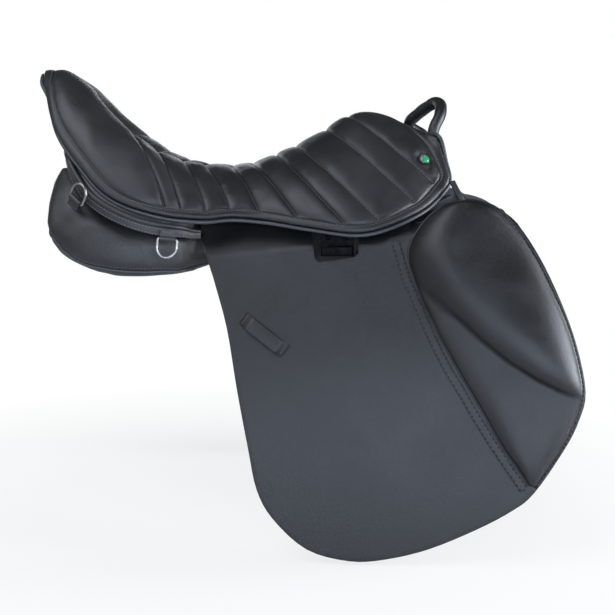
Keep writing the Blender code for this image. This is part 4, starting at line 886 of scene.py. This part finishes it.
def quilted_seat():
    """The cover: ribs, border, and the swell and folds of the leather round each stud."""
    rows, grid, out = seat_shape()
    depth, seam, border, seam_rows, distance = quilting(rows, grid)
    for sign in (-1, 1):
        stud = seat_places(STUD_STATION, np.array([sign * STUD_SHARE]))[0]
        away = np.linalg.norm(grid - stud, axis=2)
        swell = bell(away - SWELL_RADIUS, SWELL_WIDTH) * smooth_step((border - GROOVE) / 0.010)
        spokes = np.arctan2(grid[..., 2] - stud[2], grid[..., 0] - stud[0])
        folds = np.cos(FOLDS * spokes + 0.7) * bell(away - FOLD_RADIUS, FOLD_WIDTH)
        near = smooth_step((0.014 - away) / 0.007)
        depth = depth * (1 - near) + near * 0.0008 - SWELL_HEIGHT * swell + FOLD_HEIGHT * folds
    top = grid - depth[..., None] * out
    piece = closed_grid("quilted_seat", top, grid - COVER_DEPTH * out)
    wear_and_highlight = 0.25 * (1 - seam) + 0.5 * bell(border, 0.004)
    # Painted shade: the grooves along the border and along the seams are marked here to be darkened.
    shaded_grooves = bell(border - GROOVE, 0.0012) + bell(distance, 0.0013) * (border > GROOVE)
    for name, values in (("wear_and_highlight", wear_and_highlight), ("groove_shade", np.clip(shaded_grooves, 0, 1))):
        attribute(piece, name, np.concatenate([values.ravel(), np.zeros(values.size)]))
    dress(piece, "saddle", "seat_leather")
    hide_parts("seat_cover")
    return rows, grid, top, out, border, seam_rows


seat_stations, seat_grid, seat_top, seat_out, seat_border, seam_rows = quilted_seat()


def rim_loop(values):
    """The values along the seat's rim, once round."""
    return np.concatenate([values[:, -1], values[-1, -2::-1], values[-2::-1, 0], values[0, 1:-1]])


def seat_piping():
    """Piping along the rim's lower edge."""
    rim, out = rim_loop(seat_grid), rim_loop(seat_out)
    along = unit(np.roll(rim, -1, axis=0) - np.roll(rim, 1, axis=0))
    path = rim + (PIPING_RADIUS + 0.0004) * unit(np.cross(out, along)) - (COVER_DEPTH - 0.0022) * out
    loop = evenly(np.concatenate([path, path[:1]]), 620)[:-1]
    for _ in range(6):
        loop = (np.roll(loop, 1, axis=0) + 2 * loop + np.roll(loop, -1, axis=0)) / 4
    welt = cord_piece("seat_welt", loop, PIPING_RADIUS, closed=True, resolution=4)
    # Painted highlight: the welt gets the lighter bead leather and a high worn mark, so that it looks lit
    # along its top.
    dress(welt, "saddle", "seat_leather", bead_leather_painted_highlight, wear_and_highlight=0.8)
    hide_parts("seat_piping")


def border_stitches():
    """A row of stitches along the border on each side."""
    centre = seat_grid.shape[1] // 2
    rows = [row for row, station in enumerate(seat_stations) if 0.4 < station < 16.75]
    for side, half in (("left", range(centre, seat_grid.shape[1])), ("right", range(centre, -1, -1))):
        half = list(half)
        columns = [half[np.argmin(abs(seat_border[row, half] - BORDER_STITCHES))] for row in rows]
        path, ups = evenly(seat_top[rows, columns], 420), evenly(seat_out[rows, columns], 420)
        stitches(f"border_stitches_{side}", path, ups, "saddle", "seat_leather", lift=0.00005)


def seam_stitches():
    """A row of stitches in each seam, which ends at the border."""
    for number, row in enumerate(seam_rows, 1):
        keep = seat_border[row] > 0.0125
        stitches(
            f"seam_stitches_{number}", seat_top[row][keep], seat_out[row][keep],
            "saddle", "seat_leather", 0.0044, 0.0028, 0.00046, 0.00040,
        )


seat_piping()
border_stitches()
seam_stitches()


# Flaps
def fold_z(x):
    return FOLD_Z + FOLD_CLIMB * x


def flap_inner(x, z):
    """Half width of the flap's inner face."""
    below = (fold_z(x) - z) / FOLD_SOFTNESS
    depth = FOLD_SOFTNESS * (log(1 + exp(below)) - log(2))
    return FOLD_Y + FOLD_PLAN * x + FLARE_OUT * (1 - exp(-depth / FLARE_DEPTH))


def root_tops(side):
    """The top edge of the flap, along the tree, as x, half width y and z."""
    found = []
    for part in ("rear", "front"):
        points = places_of(nodes[f"flap_root_{part}_{side}"])
        points[:, 1] = abs(points[:, 1])
        for x in np.linspace(points[:, 0].min(), points[:, 0].max(), 7):
            near = points[abs(points[:, 0] - x) < 0.018]
            found.append(near[near[:, 2].argmax()])
    found = np.array(found)
    return found[found[:, 0].argsort()]


def flap_y(x, z, tops):
    """Half width of the flap's inner face, with its root above the fold line."""
    if z <= fold_z(x):
        return flap_inner(x, z)
    top_y, top_z = (np.interp(x, tops[:, 0], tops[:, k]) for k in (1, 2))
    share = min(1.0, (z - fold_z(x)) / max(top_z - fold_z(x), 0.004))
    return FOLD_Y + FOLD_PLAN * x + (top_y - FLAP_THICKNESS - FOLD_Y - FOLD_PLAN * x) * share


def clean_outline(outline, step):
    """Points at even steps round a closed outline, which keeps its corners."""
    outline = np.array(outline)
    found = []
    for point, after in zip(outline, np.roll(outline, -1, axis=0)):
        parts = max(1, int(round(np.hypot(*(after - point)) / step)))
        found += [tuple(point + (after - point) * part / parts) for part in range(parts)]
    return found


def leather_sheet(name, outline, y_of, sign, thickness, step=0.004, edge=0.0011):
    """Cut leather: a fine net inside an outline in x and z, bent to a face and given its thickness."""
    rim = clean_outline(outline, step)
    low, high = np.min(rim, axis=0), np.max(rim, axis=0)
    net = []
    row, z = 0, low[1] + step / 2
    while z < high[1]:
        x = low[0] + (step / 2 if row % 2 else 0)
        while x < high[0]:
            net.append((x, 0, z))
            x += step
        row, z = row + 1, z + step * 0.87
    away = away_from([(x, 0, z) for x, z in rim], net)
    spots = rim + [(x, z) for (x, _, z), gap in zip(net, away) if gap > 0.75 * step]
    ring = list(range(len(rim)))
    edges = list(zip(ring, ring[1:] + ring[:1]))
    points, _, faces, *_ = delaunay_2d_cdt([Vector(spot) for spot in spots], edges, [ring], 1, 1e-6)
    piece = mesh_piece(name, [(x, sign * y_of(x, z), z) for x, z in points], faces, closed=False)
    shape = bmesh.new()
    shape.from_mesh(piece.data)
    loose = [v for v in shape.verts if not v.link_faces]
    bmesh.ops.delete(shape, geom=loose, context="VERTS")
    shape.normal_update()
    if sum(f.normal.y * f.calc_area() for f in shape.faces) * sign < 0:
        bmesh.ops.reverse_faces(shape, faces=shape.faces)
    shape.to_mesh(piece.data)
    shape.free()
    modified(piece, "SOLIDIFY", thickness=thickness, offset=1.0, use_even_offset=True)
    rounded_edges(piece, edge, segments=3)
    return piece


def edge_wear(piece, outline, step, reach=0.004):
    """Mark what lies near a sheet's cut edge as worn."""
    rim = [(x, 0, z) for x, z in clean_outline(outline, step)]
    away = away_from(rim, [(v.co.x, 0, v.co.z) for v in piece.data.vertices])
    attribute(piece, "wear_and_highlight", 0.10 + 0.9 * bell(away, reach))


def flap_outline(tops):
    """The flap's edge, with the notch that lets the stirrup leather through to its bar."""
    rear, front = NOTCH_REAR_X, NOTCH_FRONT_X
    rear_z, front_z = (fold_z(x) - NOTCH_DEPTH for x in (rear, front))

    def along_top(start, end, count):
        return [(x, float(np.interp(x, tops[:, 0], tops[:, 2]))) for x in np.linspace(start, end, count)]

    return [
        (tops[0][0] + 0.002, tops[0][2]),
        *along_top(tops[0][0] + 0.006, rear - 0.002, 12),
        (rear - 0.001, fold_z(rear)), (rear, rear_z + 0.004), (rear + 0.004, rear_z),
        (front - 0.004, front_z), (front, front_z + 0.004), (front + 0.001, fold_z(front)),
        *along_top(front + 0.002, tops[-1][0] - 0.002, 8),
        (FLAP_FRONT_X, fold_z(FLAP_FRONT_X) + 0.004),
        *map(tuple, curve_through(FLAP_EDGE, 4)),
        (FLAP_REAR_X, fold_z(FLAP_REAR_X)),
    ]


def flap(side, sign):
    tops = root_tops(side)
    outline = flap_outline(tops)
    piece = leather_sheet(
        f"flap_leather_{side}", outline, lambda x, z: flap_y(x, z, tops), sign, FLAP_THICKNESS
    )
    edge_wear(piece, outline, 0.002)
    dress(piece, None, "flap_leather", angle=50)
    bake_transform(piece)
    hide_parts(f"flap_{side}", f"flap_root_rear_{side}", f"flap_root_front_{side}")


def on_flap(points, sign, lift):
    """Places on the flap's outer face, and the direction out of it, for points in x and z."""
    places, ups = [], []
    step = 0.002
    for x, z in points:
        y = flap_inner(x, z)
        places.append((x, sign * (y + FLAP_THICKNESS + lift), z))
        slope_x = (flap_inner(x + step, z) - y) / step
        slope_z = (flap_inner(x, z + step) - y) / step
        ups.append(unit(np.array((-slope_x, 1.0, -slope_z))) * (1, sign, 1))
    return np.array(places), np.array(ups)


def flap_stitches(name, points, lift, side, sign, *sizes):
    """A row of dark stitches on the flap along points in x and z."""
    places, ups = on_flap(points, sign, lift)
    stitches(f"{name}_{side}", places, ups, side + "_flap", "flap_leather", *sizes, finish=dark_thread)


def flap_stitching(side, sign):
    """Two rows of stitches beside the knee roll, on a strip, joined by a short row at their lower end."""
    middle = curve_through(STITCH_BAND, 12)
    along = unit(np.gradient(middle, axis=0))
    across = np.stack([-along[:, 1], along[:, 0]], axis=1)
    places, ups = on_flap(evenly(middle, 130), sign, -0.0002)
    strip = swept(f"roll_base_strip_{side}", places, ups, rounded_profile(*BAND_STRIP))
    dress(strip, side + "_flap", "flap_leather", angle=60, wear_and_highlight=0.4)
    rows = [middle + offset * across for offset in (-BAND_ROWS, BAND_ROWS)]
    for number, row in enumerate(rows, 1):
        name = f"roll_base_stitches_{number}"
        flap_stitches(name, evenly(row, 200), 0.0011, side, sign, 0.0053, 0.0032, 0.00075)
    end = evenly([rows[0][-1], rows[1][-1]], 8)
    flap_stitches("roll_base_stitches_3", end, 0.0011, side, sign, 0.0040, 0.0030, 0.00075)


def roll_fullness(x, z, across):
    """The roll's fullness above and below its crease, and the share of the upper part in it."""
    above = z - np.interp(x, ROLL_CREASE[:, 0], ROLL_CREASE[:, 1])
    step = ROLL_STEP * (1 + 1.3 * (1 - across) ** 2)
    rise = (1 - (1 - min(max(above / step, 0), 1)) ** 2.6) ** 0.5
    taper = smooth_step((above - ROLL_TAPER_STARTS) / ROLL_TAPER)
    return ROLL_LOWER + (ROLL_UPPER + (ROLL_TOP - ROLL_UPPER) * taper - ROLL_LOWER) * rise, rise


def roll_end(share, length):
    """How full the roll is at a share of its way from an end that rounds off over a length."""
    return (1 - (1 - min(share / length, 1)) ** 2.4) ** 0.5


def knee_roll(side, sign):
    """Padded roll on the flap: full above its crease, flatter below it, drawn in to its sewn edge."""
    rear = evenly(curve_through(ROLL_REAR, 8), 130)
    front = evenly(curve_through(ROLL_FRONT, 8), 130)
    edges = np.array((0, 0.008, 0.02, 0.04, 0.07, 0.11))
    shares = np.concatenate([edges, np.linspace(0.15, 0.85, 30), 1 - edges[::-1]])
    top = np.zeros((len(rear), len(shares), 3))
    base = np.zeros_like(top)
    for row, (one, two) in enumerate(zip(rear, front)):
        down = row / (len(rear) - 1)
        end = roll_end(down, 0.24) * roll_end(1 - down, 0.12)
        width = np.hypot(*(two - one))
        for column, share in enumerate(shares):
            x, z = one + (two - one) * share
            y = flap_inner(x, z) + FLAP_THICKNESS + ON_FLAP
            across = min(share / max(1 - ROLL_FLANGE / width, 0.5), 1)
            full, rise = roll_fullness(x, z, across)
            rear_round = (1 - max(1 - across / 0.36, 0) ** 2.4) ** 0.7
            front_round = (1 - max((across - 0.50) / 0.50, 0) ** 2.3) ** (0.85 - 0.33 * rise)
            height = ROLL_FLANGE_HEIGHT * min(share / 0.02, 1)
            height += (full - ROLL_FLANGE_HEIGHT) * end * rear_round * front_round
            top[row, column] = (x, sign * (y + height), z)
            base[row, column] = (x, sign * y, z)
    uneven = waves(top[..., 0], top[..., 2], 0.080, 21 + sign) * 0.0003
    height = abs(top[..., 1]) - abs(base[..., 1])
    top[..., 1] += sign * uneven * smooth_step(height / 0.006)
    piece = closed_grid(f"knee_roll_leather_{side}", top, base)
    unmoved = np.ones(height.size)
    inflate(piece, np.concatenate([(height < 0.0045).ravel(), unmoved]), ROLL_PRESSURE)
    wear_and_highlight = np.tile(0.15 + 0.5 * bell(1 - shares, 0.05), len(rear))
    attribute(piece, "wear_and_highlight", np.concatenate([wear_and_highlight, np.zeros(height.size)]))
    dress(piece, side + "_flap", "flap_leather")
    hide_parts("knee_roll_" + side)


def roll_edges(side, sign):
    """Stitches along the roll's front flange, and a thin welt along its rear edge."""
    rim, inward = (evenly(curve_through(edge[1:], 8), 300) for edge in (ROLL_FRONT, ROLL_REAR))
    line = rim + unit(inward - rim) * 0.5 * ROLL_FLANGE
    lift = ON_FLAP + ROLL_FLANGE_HEIGHT
    flap_stitches("roll_edge_stitches", line, lift, side, sign, 0.0048, 0.0030, 0.00065)
    places, _ = on_flap(evenly(curve_through(ROLL_REAR[1:], 8), 260), sign, 0.0010)
    welt = cord_piece("roll_welt_" + side, places, 0.0011, resolution=2)
    dress(welt, side + "_flap", "flap_leather")


def keeper(side, sign):
    """Arched leather loop, its ends sewn down to the flap."""
    outer, inner = [], []
    for share in np.arange(KEEPER_STEPS + 1) / KEEPER_STEPS:
        lift = KEEPER_ARCH * min(1.0, 2.4 * sin(pi * share) ** 1.2)
        along = (share - 0.5) * KEEPER_LENGTH
        top, base = [], []
        for width in np.linspace(-0.5, 0.5, 9):
            across = width * KEEPER_WIDTH
            x = KEEPER_X + along * cos(KEEPER_SLOPE) - across * sin(KEEPER_SLOPE)
            z = KEEPER_Z + along * sin(KEEPER_SLOPE) + across * cos(KEEPER_SLOPE)
            y = flap_inner(x, z) + FLAP_THICKNESS + ON_FLAP + lift + 0.0004 * cos(2 * pi * width)
            base.append((x, sign * y, z))
            top.append((x, sign * (y + KEEPER_THICKNESS), z))
        outer.append(top)
        inner.append(base)
    piece = closed_grid("keeper_loop_" + side, outer, inner)
    rounded_edges(piece, 0.0006)
    dress(piece, side + "_flap", "flap_leather", angle=50, wear_and_highlight=0.5)
    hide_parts("keeper_" + side)
    for number, row in enumerate((2, KEEPER_STEPS - 2), 1):
        path, up = evenly(outer[row][1:-1], 12), np.tile((0, sign, 0.25), (12, 1))
        name = f"keeper_stitches_{number}_{side}"
        stitches(name, path, up, side + "_flap", "flap_leather", 0.0026, 0.0019, 0.0004)


for side, sign in SIDES:
    flap(side, sign)
    flap_stitching(side, sign)
    knee_roll(side, sign)
    roll_edges(side, sign)
    keeper(side, sign)


# Panels
def panel(side, sign):
    """Stuffed panel: the solid's shape in an even net of fine leather, blown up by cloth simulation."""
    piece = copy_of("panel_" + side, "panel_cushion_" + side)
    merged(piece, 0.00005)
    modified(piece, "REMESH", mode="VOXEL", voxel_size=PANEL_NET)
    modified(piece, "SMOOTH", factor=0.5, iterations=10)
    inflate(piece, np.zeros(len(piece.data.vertices)), PANEL_PRESSURE)
    places = places_of(piece)
    normals = np.array([v.normal for v in piece.data.vertices])
    uneven = waves(places[:, 0], places[:, 2] + places[:, 1], 0.06, 31 + sign) * 0.0010
    seam = evenly(curve_through([(x, sign * y, z) for x, y, z in PANEL_SEAM], 8), 400)
    sunk = SEAM_SINK * bell(away_from(seam, places), SEAM_SINK_WIDTH)
    move_to(piece, places + normals * (uneven - sunk)[:, None])
    modified(piece, "SUBSURF", levels=1, render_levels=1)
    places = places_of(piece)
    level = np.interp(places[:, 0], seam[:, 0], seam[:, 2])
    under = smooth_step((level - 0.0015 - places[:, 2]) / 0.004) * (places[:, 0] > -0.214)
    attribute(piece, "under", under)
    dress(piece, "saddle", "panel_leather", wear_and_highlight=0.15)
    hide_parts("panel_" + side)
    path, ups = snapped(piece, seam)
    for _ in range(3):
        path[1:-1] = (path[:-2] + 2 * path[1:-1] + path[2:]) / 4
    welt = cord_piece("panel_welt_" + side, path + 0.0004 * ups, 0.0012)
    # Painted highlight: the welt gets the lighter bead leather and a raised worn mark, so that it looks lit
    # along its top.
    dress(welt, "saddle", "panel_leather", bead_leather_painted_highlight, wear_and_highlight=0.7)
    above = snapped(piece, seam + (0, 0, 0.0055))
    stitches("panel_stitches_" + side, *above, "saddle", "panel_leather", 0.0042, 0.0028, 0.0004)


for side, sign in SIDES:
    panel(side, sign)


# Strips round the panels
def facing():
    """Bound strip round the back: a stitched band under a smooth roll, lower towards its ends."""
    path = evenly(mirrored(curve_through(FACING_PATH, 8)), 320)
    along = unit(np.gradient(path, axis=0))
    outward = np.stack([-along[:, 1], along[:, 0], np.zeros(len(path))], axis=1)
    outward *= np.where((outward * (path - (0.05, 0, 0))).sum(1, keepdims=True) < 0, -1, 1)
    outward = square_to(outward, along)
    steps = np.arange(len(path))
    reach = 0.70 + 0.30 * smooth_step(np.minimum(steps, steps[::-1]) / 24)
    up = upward(outward, along) * reach[:, None]
    band = swept("facing_band", path - 0.0022 * up, outward, rounded_profile(*FACING_BAND), reach)
    dress(band, "saddle", "panel_leather", angle=60, wear_and_highlight=0.35)
    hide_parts("cantle_facing")
    top = path + 0.0043 * up + 0.0022 * outward
    roll = cord_piece("facing_roll", top, FACING_ROLL * reach, resolution=4)
    dress(roll, "saddle", "panel_leather", wear_and_highlight=0.5)
    for number, height in enumerate((-0.0058, -0.0002), 1):
        stitches(
            f"facing_stitches_{number}", path + height * up + FACING_BAND[0] * outward, outward,
            "saddle", "panel_leather", 0.0038, 0.0027, 0.00052, finish=worn_thread,
        )


def front_facing(side, sign):
    """Bound strip up the panel's front end, which turns as it climbs."""
    path = evenly(curve_through([(x, sign * y, z) for x, y, z in FRONT_FACING_PATH], 8), 60)
    turns = np.linspace(pi / 2, FRONT_FACING_TURN, len(path))
    outward = np.stack([np.cos(turns), sign * np.sin(turns), np.zeros(len(path))], axis=1)
    band = swept("front_band_" + side, path, outward, rounded_profile(*FRONT_BAND))
    dress(band, "saddle", "panel_leather", angle=60, wear_and_highlight=0.35)
    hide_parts("front_facing_" + side)
    stitches(
        "front_band_stitches_" + side, path + 0.0030 * outward + (0, 0, -0.0022), outward,
        "saddle", "panel_leather", 0.0036, 0.0026, 0.0004,
    )


def cantle_gusset():
    """Leather between the back strip and the underside of the seat, so that no light shows through."""
    low = evenly(mirrored(curve_through(FACING_PATH, 8)[8:]), 161)
    low = low - unit(low * (1, 1, 0) - (0.02, 0, 0)) * 0.0016 + (0, 0, 0.004)
    stations = np.interp(np.linspace(0, 1, 81), (0, 0.55, 0.85, 1), (7.6, 3.0, 1.6, 0.9))
    high = mirrored(np.array([seat_places(s, np.array([0.93]))[0] for s in stations]))
    high += unit((0.02, 0, 0) - high * (1, 1, 0)) * 0.0110 - (0, 0, 0.0050)
    high[:, 2] = np.maximum(high[:, 2], low[:, 2] + 0.002)
    outer = np.array([low + (high - low) * share for share in np.linspace(0, 1, 12)])
    inward = unit((0.05, 0, 0) - low * (1, 1, 0)) * 0.0014
    dress(closed_grid("cantle_gusset", outer, outer + inward), "saddle", "panel_leather")


facing()
cantle_gusset()
for side, sign in SIDES:
    front_facing(side, sign)


# Handle
def handle():
    """Leather sewn round a core, with a seam along its inner side and creases at its bends."""
    path = evenly(curve_through(HANDLE_PATH, 10), 150)
    run = np.linspace(0, 1, len(path))
    radii = HANDLE_RADIUS + (HANDLE_SWELL + HANDLE_CREASE * np.sin(run * 55)) * np.sin(pi * run)
    piece = cord_piece("handle_leather", path, radii, resolution=7)
    dress(piece, "saddle", "flap_leather", wear_and_highlight=0.45)
    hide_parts("handle")
    inward = square_to(unit(np.array(HANDLE_CENTRE) - path), unit(np.gradient(path, axis=0)))
    seam = path + inward * (radii[:, None] - 0.0001)
    keep = slice(10, -10)
    stitches("handle_stitches", seam[keep], inward[keep], "saddle", "flap_leather")


handle()


# Rings and tabs
def rings(side, sign):
    """D-rings of round wire, each in its tab."""
    half = RING_WIDTH / 2 - RING_WIRE
    depth = RING_DEPTH - RING_WIRE - half
    corner = [
        (half - RING_CORNER + RING_CORNER * sin(angle), RING_CORNER * (1 - cos(angle)))
        for angle in np.linspace(0, pi / 2, 6)[:-1]
    ]
    base = [(half * share, 0) for share in np.linspace(-0.86, 0.86, 12)]
    bend = [(half * cos(angle), depth + half * sin(angle)) for angle in np.linspace(0, pi, 28)]
    outline = np.array([*base, *corner, *bend, *((-x, y) for x, y in corner[::-1])])
    for name, middle, bar, bow in RINGS:
        middle, bar, bow = (np.array(values) * (1, sign, 1) for values in (middle, bar, bow))
        bar = unit(bar)
        bow = square_to(bow, bar)
        loop = middle + outline[:, :1] * bar + outline[:, 1:] * bow
        loop = evenly(np.concatenate([loop, loop[:1]]), 110)[:-1]
        ring = cord_piece(f"d_ring_{name}_{side}", loop, RING_WIRE, closed=True, resolution=5)
        dress(ring, f"{side}_{name}_ring", "steel", steel)
        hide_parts(f"ring_{name}_{side}")
        tab(name, side, middle, bar, bow)


def tab(name, side, middle, bar, bow):
    """Leather tab folded round the ring's bar, with its sewn tongue."""
    out = np.cross(bar, bow)
    fold = [(TAB_HOLE * cos(turn), TAB_HOLE * sin(turn)) for turn in np.linspace(-0.38 * pi, 1.38 * pi, 22)]
    ends = [(x * 0.25, y - TAB_TONGUE) for x, y in (fold[0], fold[-1])]
    line = evenly(curve_through([ends[0], *fold, ends[1]], 3), 40)
    slope = unit(np.gradient(line, axis=0))
    outside = line + TAB_WALL * np.stack([slope[:, 1], -slope[:, 0]], axis=1)
    outer, inner = (
        np.array([
            [middle + place * TAB_LENGTH * bar + x * out + y * bow for x, y in face]
            for place in np.linspace(-0.5, 0.5, 9)
        ])
        for face in (outside, line)
    )
    piece = closed_grid(f"tab_{name}_{side}", outer, inner)
    rounded_edges(piece, 0.0004)
    dress(piece, "saddle", "panel_leather", angle=50, wear_and_highlight=0.5)
    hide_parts(f"ring_tab_{name}_{side}")
    outward = np.array((0.0, np.sign(middle[1]), 0.0))
    column = max((3, -4), key=lambda tried: (outer[4, tried] - middle).dot(outward))
    path, up = evenly(outer[1:-1, column], 10), np.tile(out * np.sign(out.dot(outward)), (10, 1))
    stitches(f"tab_stitches_{name}_{side}", path, up, "saddle", "panel_leather", 0.0030, 0.0022, 0.0004)


for side, sign in SIDES:
    rings(side, sign)


# Pieces that keep the solid's shape
def softened(node, name, body, slot, width):
    """The solid's own shape with its edges rounded."""
    piece = copy_of(node, name)
    merged(piece, 0.00002, flatten=True)
    rounded_edges(piece, width, angle=35)
    dress(piece, body, slot, angle=40, wear_and_highlight=0.3)
    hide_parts(node)


for node, slot, width in (
    ("cantle_back", "flap_leather", 0.0008),
    ("pommel_front", "flap_leather", 0.0008),
    ("gullet_lining", "panel_leather", 0.0006),
):
    softened(node, node + "_leather", "saddle", slot, width)
for side, sign in SIDES:
    softened("handle_cap_" + side, "handle_foot_" + side, "saddle", "flap_leather", 0.0012)
    # Painted shade in part: the plates and bars get the near-black steel so that they look shaded under the
    # skirt.
    softened("bar_plate_" + side, "plate_" + side, "saddle", "steel", 0.0005)
    softened("stirrup_bar_" + side, "bar_" + side, "saddle", "steel", 0.0014)
    softened("bar_catch_" + side, "catch_" + side, side + "_catch", "steel", 0.0005)
    softened("girth_web_" + side, "web_" + side, "saddle", "webbing", 0.0005)


# Sweat flaps and girth straps
def sweat_y(x, z):
    depth = max(fold_z(x) - z, 0.0)
    return flap_inner(x, z) - SWEAT_GAP - SWEAT_TUCK * exp(-depth / SWEAT_EASE)


def sweat_flap(side, sign):
    """Thin leather under the flap, with a row of stitches on each face."""
    outline = [tuple(p) for p in curve_through(SWEAT_EDGE, 4)]
    piece = leather_sheet(f"sweat_leather_{side}", outline, sweat_y, sign, SWEAT_THICKNESS, 0.006, 0.0007)
    edge_wear(piece, outline, 0.003)
    dress(piece, "saddle", "flap_leather", angle=50)
    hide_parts("sweat_flap_" + side)
    inset = np.array(outline[4:-4])
    inset = evenly(inset + unit(np.array((0.12, -0.12)) - inset) * 0.006, 260)
    for face, lift, turn in (("outer", SWEAT_THICKNESS, 1), ("inner", 0.0, -1)):
        places = [(x, sign * (sweat_y(x, z) + lift), z) for x, z in inset]
        up = np.tile((0, sign * turn, -0.3 * turn), (260, 1))
        name = f"sweat_stitches_{face}_{side}"
        stitches(name, places, up, "saddle", "flap_leather", 0.0048, 0.0033, 0.00042)


def billet_y(x, z):
    return flap_inner(x, z) - BILLET_GAP


def punch(piece, place):
    """Cut a buckle hole."""
    bpy.ops.mesh.primitive_cylinder_add(
        vertices=20, radius=HOLE_RADIUS, depth=0.02, location=place, rotation=(pi / 2, 0, 0)
    )
    tool = bpy.context.active_object
    modified(piece, "BOOLEAN", operation="DIFFERENCE", object=tool)
    bpy.data.objects.remove(tool)


def billets(side, sign):
    """Girth straps with pointed ends and punched holes."""
    half, top, bottom = BILLET_WIDTH / 2, BILLET_TOP, BILLET_BOTTOM
    for name, x in BILLETS:
        outline = [(x - half, top), (x + half, top), (x + half, bottom), (x + half * 0.6, bottom - 0.012)]
        outline += [(x - half * 0.6, bottom - 0.012), (x - half, bottom)]
        piece = leather_sheet(
            f"girth_strap_{name}_{side}", outline, lambda _, z, x=x: billet_y(x, z),
            sign, BILLET_THICKNESS, 0.0032, 0.0007,
        )
        edge_wear(piece, outline, 0.003, 0.003)
        for hole in range(HOLES):
            z = bottom + HOLE_START + hole * HOLE_PITCH
            punch(piece, (x, sign * (billet_y(x, z) + BILLET_THICKNESS / 2), z))
        dress(piece, f"{side}_{name}_billet", "strap_leather", angle=40)
        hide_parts(f"billet_{name}_{side}")


for side, sign in SIDES:
    sweat_flap(side, sign)
    billets(side, sign)


# Studs
def turned(name, profile, closed, middle, across, up, axis):
    """A piece turned on an axis from a profile of radii and heights."""
    steps, rows = 48, len(profile)
    points, faces = [], []
    for step in range(steps):
        angle = 2 * pi * step / steps
        spoke = cos(angle) * across + sin(angle) * up
        points += [middle + radius * spoke + height * axis for radius, height in profile]
        here, after = step * rows, (step + 1) % steps * rows
        for row in range(rows if closed else rows - 1):
            below = (row + 1) % rows
            faces.append((here + row, after + row, after + below, here + below))
    piece = mesh_piece(name, points, faces, closed=False)
    merged(piece, 0.000005, turn=True)
    return piece


def stud(side):
    """Domed enamel face in a pale rim, turned on the solid stud's own axis."""
    points = places_of(nodes["stud_rim_" + side])
    middle = points.mean(0)
    axis = np.linalg.svd(points - middle)[2][2]
    axis = axis * np.sign(axis[1] * middle[1])
    heights = (points - middle) @ axis
    radius = np.linalg.norm((points - middle) - heights[:, None] * axis, axis=1).max()
    across = unit(np.cross(axis, (0, 0, 1)))
    place = middle + heights.max() * axis, across, np.cross(axis, across), axis
    for name, profile, closed, slot, finish in (
        ("stud_face_", STUD_FACE, False, "green_enamel", None),
        ("stud_ring_", STUD_RING, True, "steel", steel),
    ):
        profile = [(share * radius, height) for share, height in profile]
        piece = turned(name + side, profile, closed, *place)
        dress(piece, "saddle", slot, finish, 50)
        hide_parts(("stud_rim_" if closed else "stud_") + side)


for side, _ in SIDES:
    stud(side)

# Nodes that stay as they are, in a better finish
slot_of = {row["node"]: row["material_slot"] for row in frame["record"]["subparts"]}
for name, node in nodes.items():
    if not node.hide_render:
        node.data.materials.clear()
        node.data.materials.append(steel if name.startswith("front_nail") else FINISHES[slot_of[name]])


# Floor, light, camera
def stage_floor():
    """A pale floor, whiter to the camera the farther it is from the saddle."""
    bpy.ops.mesh.primitive_plane_add(size=8.0, location=(0, 0, FLOOR_LEVEL))
    floor = bpy.context.active_object
    floor.name = "pale_floor"
    finish, build = new_material("pale_floor")
    build.tree.nodes.clear()
    surface = build.node("BsdfDiffuse", {"Color": (0.72, 0.72, 0.72, 1)})
    bright = build.node("Emission", {"Strength": 1.0})
    seen = build.node("LightPath").outputs["Is Camera Ray"]
    far = build.node("VectorMath", {0: build.place()}, operation="LENGTH").outputs["Value"]
    share = build.add(build.times(build.ramp(far, 0.25, 0.70), 0.24), 0.76)
    build.show("OutputMaterial", build.times(share, seen), surface, bright)
    floor.data.materials.append(finish)


def sky():
    """White to the camera. To the saddle, a room that is bright low down in front and dim overhead.

    Gloss sees the white backdrop too, where it is low down.
    """
    world = bpy.context.scene.world or bpy.data.worlds.new("studio")
    bpy.context.scene.world = world
    world.use_nodes = True
    build = Build(world.node_tree)
    build.tree.nodes.clear()
    rays = build.node("LightPath").outputs
    place = build.node("TexCoord").outputs["Generated"]
    direction = build.node("SeparateXYZ", {0: place}).outputs
    low = build.ramp(direction["Z"], 0.60, 0.0)
    front = build.ramp(direction["Y"], 0.8, -0.8)
    level = build.add(build.times(front, 0.20), 0.14)
    gloss = build.add(build.times(front, 0.35), 0.10)
    level = build.times(low, build.add(level, build.times(gloss, rays["Is Glossy Ray"])))
    soft = build.node("Background", {"Color": (0.93, 0.96, 1.0, 1), "Strength": build.add(level, 0.03)})
    white = build.node("Background", {"Color": (1.0, 1.0, 1.0, 1)})
    build.show("OutputWorld", rays["Is Camera Ray"], soft, white)


def lamp(name, place, target, size, power, colour):
    light = bpy.data.lights.new(name, "AREA")
    set_all(light, shape="RECTANGLE", size=size[0], size_y=size[1], energy=power, color=colour)
    holder = linked(name, light)
    holder.location = place
    holder.rotation_euler = (Vector(target) - Vector(place)).to_track_quat("-Z", "Y").to_euler()


def camera():
    """The photograph's own view."""
    azimuth, elevation = map(radians, CAMERA_ANGLES)
    away = Vector((sin(azimuth) * cos(elevation), -cos(azimuth) * cos(elevation), sin(elevation)))
    data = bpy.data.cameras.new("view")
    data.sensor_width = SENSOR
    data.lens = SENSOR * CAMERA_FOCUS / PICTURE_WIDTH
    holder = linked("view", data)
    holder.location = Vector(CAMERA_TARGET) + CAMERA_DISTANCE * away
    holder.rotation_euler = (-away).to_track_quat("-Z", "Y").to_euler()
    bpy.context.scene.camera = holder


stage_floor()
sky()
for values in LIGHTS:
    lamp(*values)
camera()
bpy.context.scene.view_settings.view_transform = "Standard"
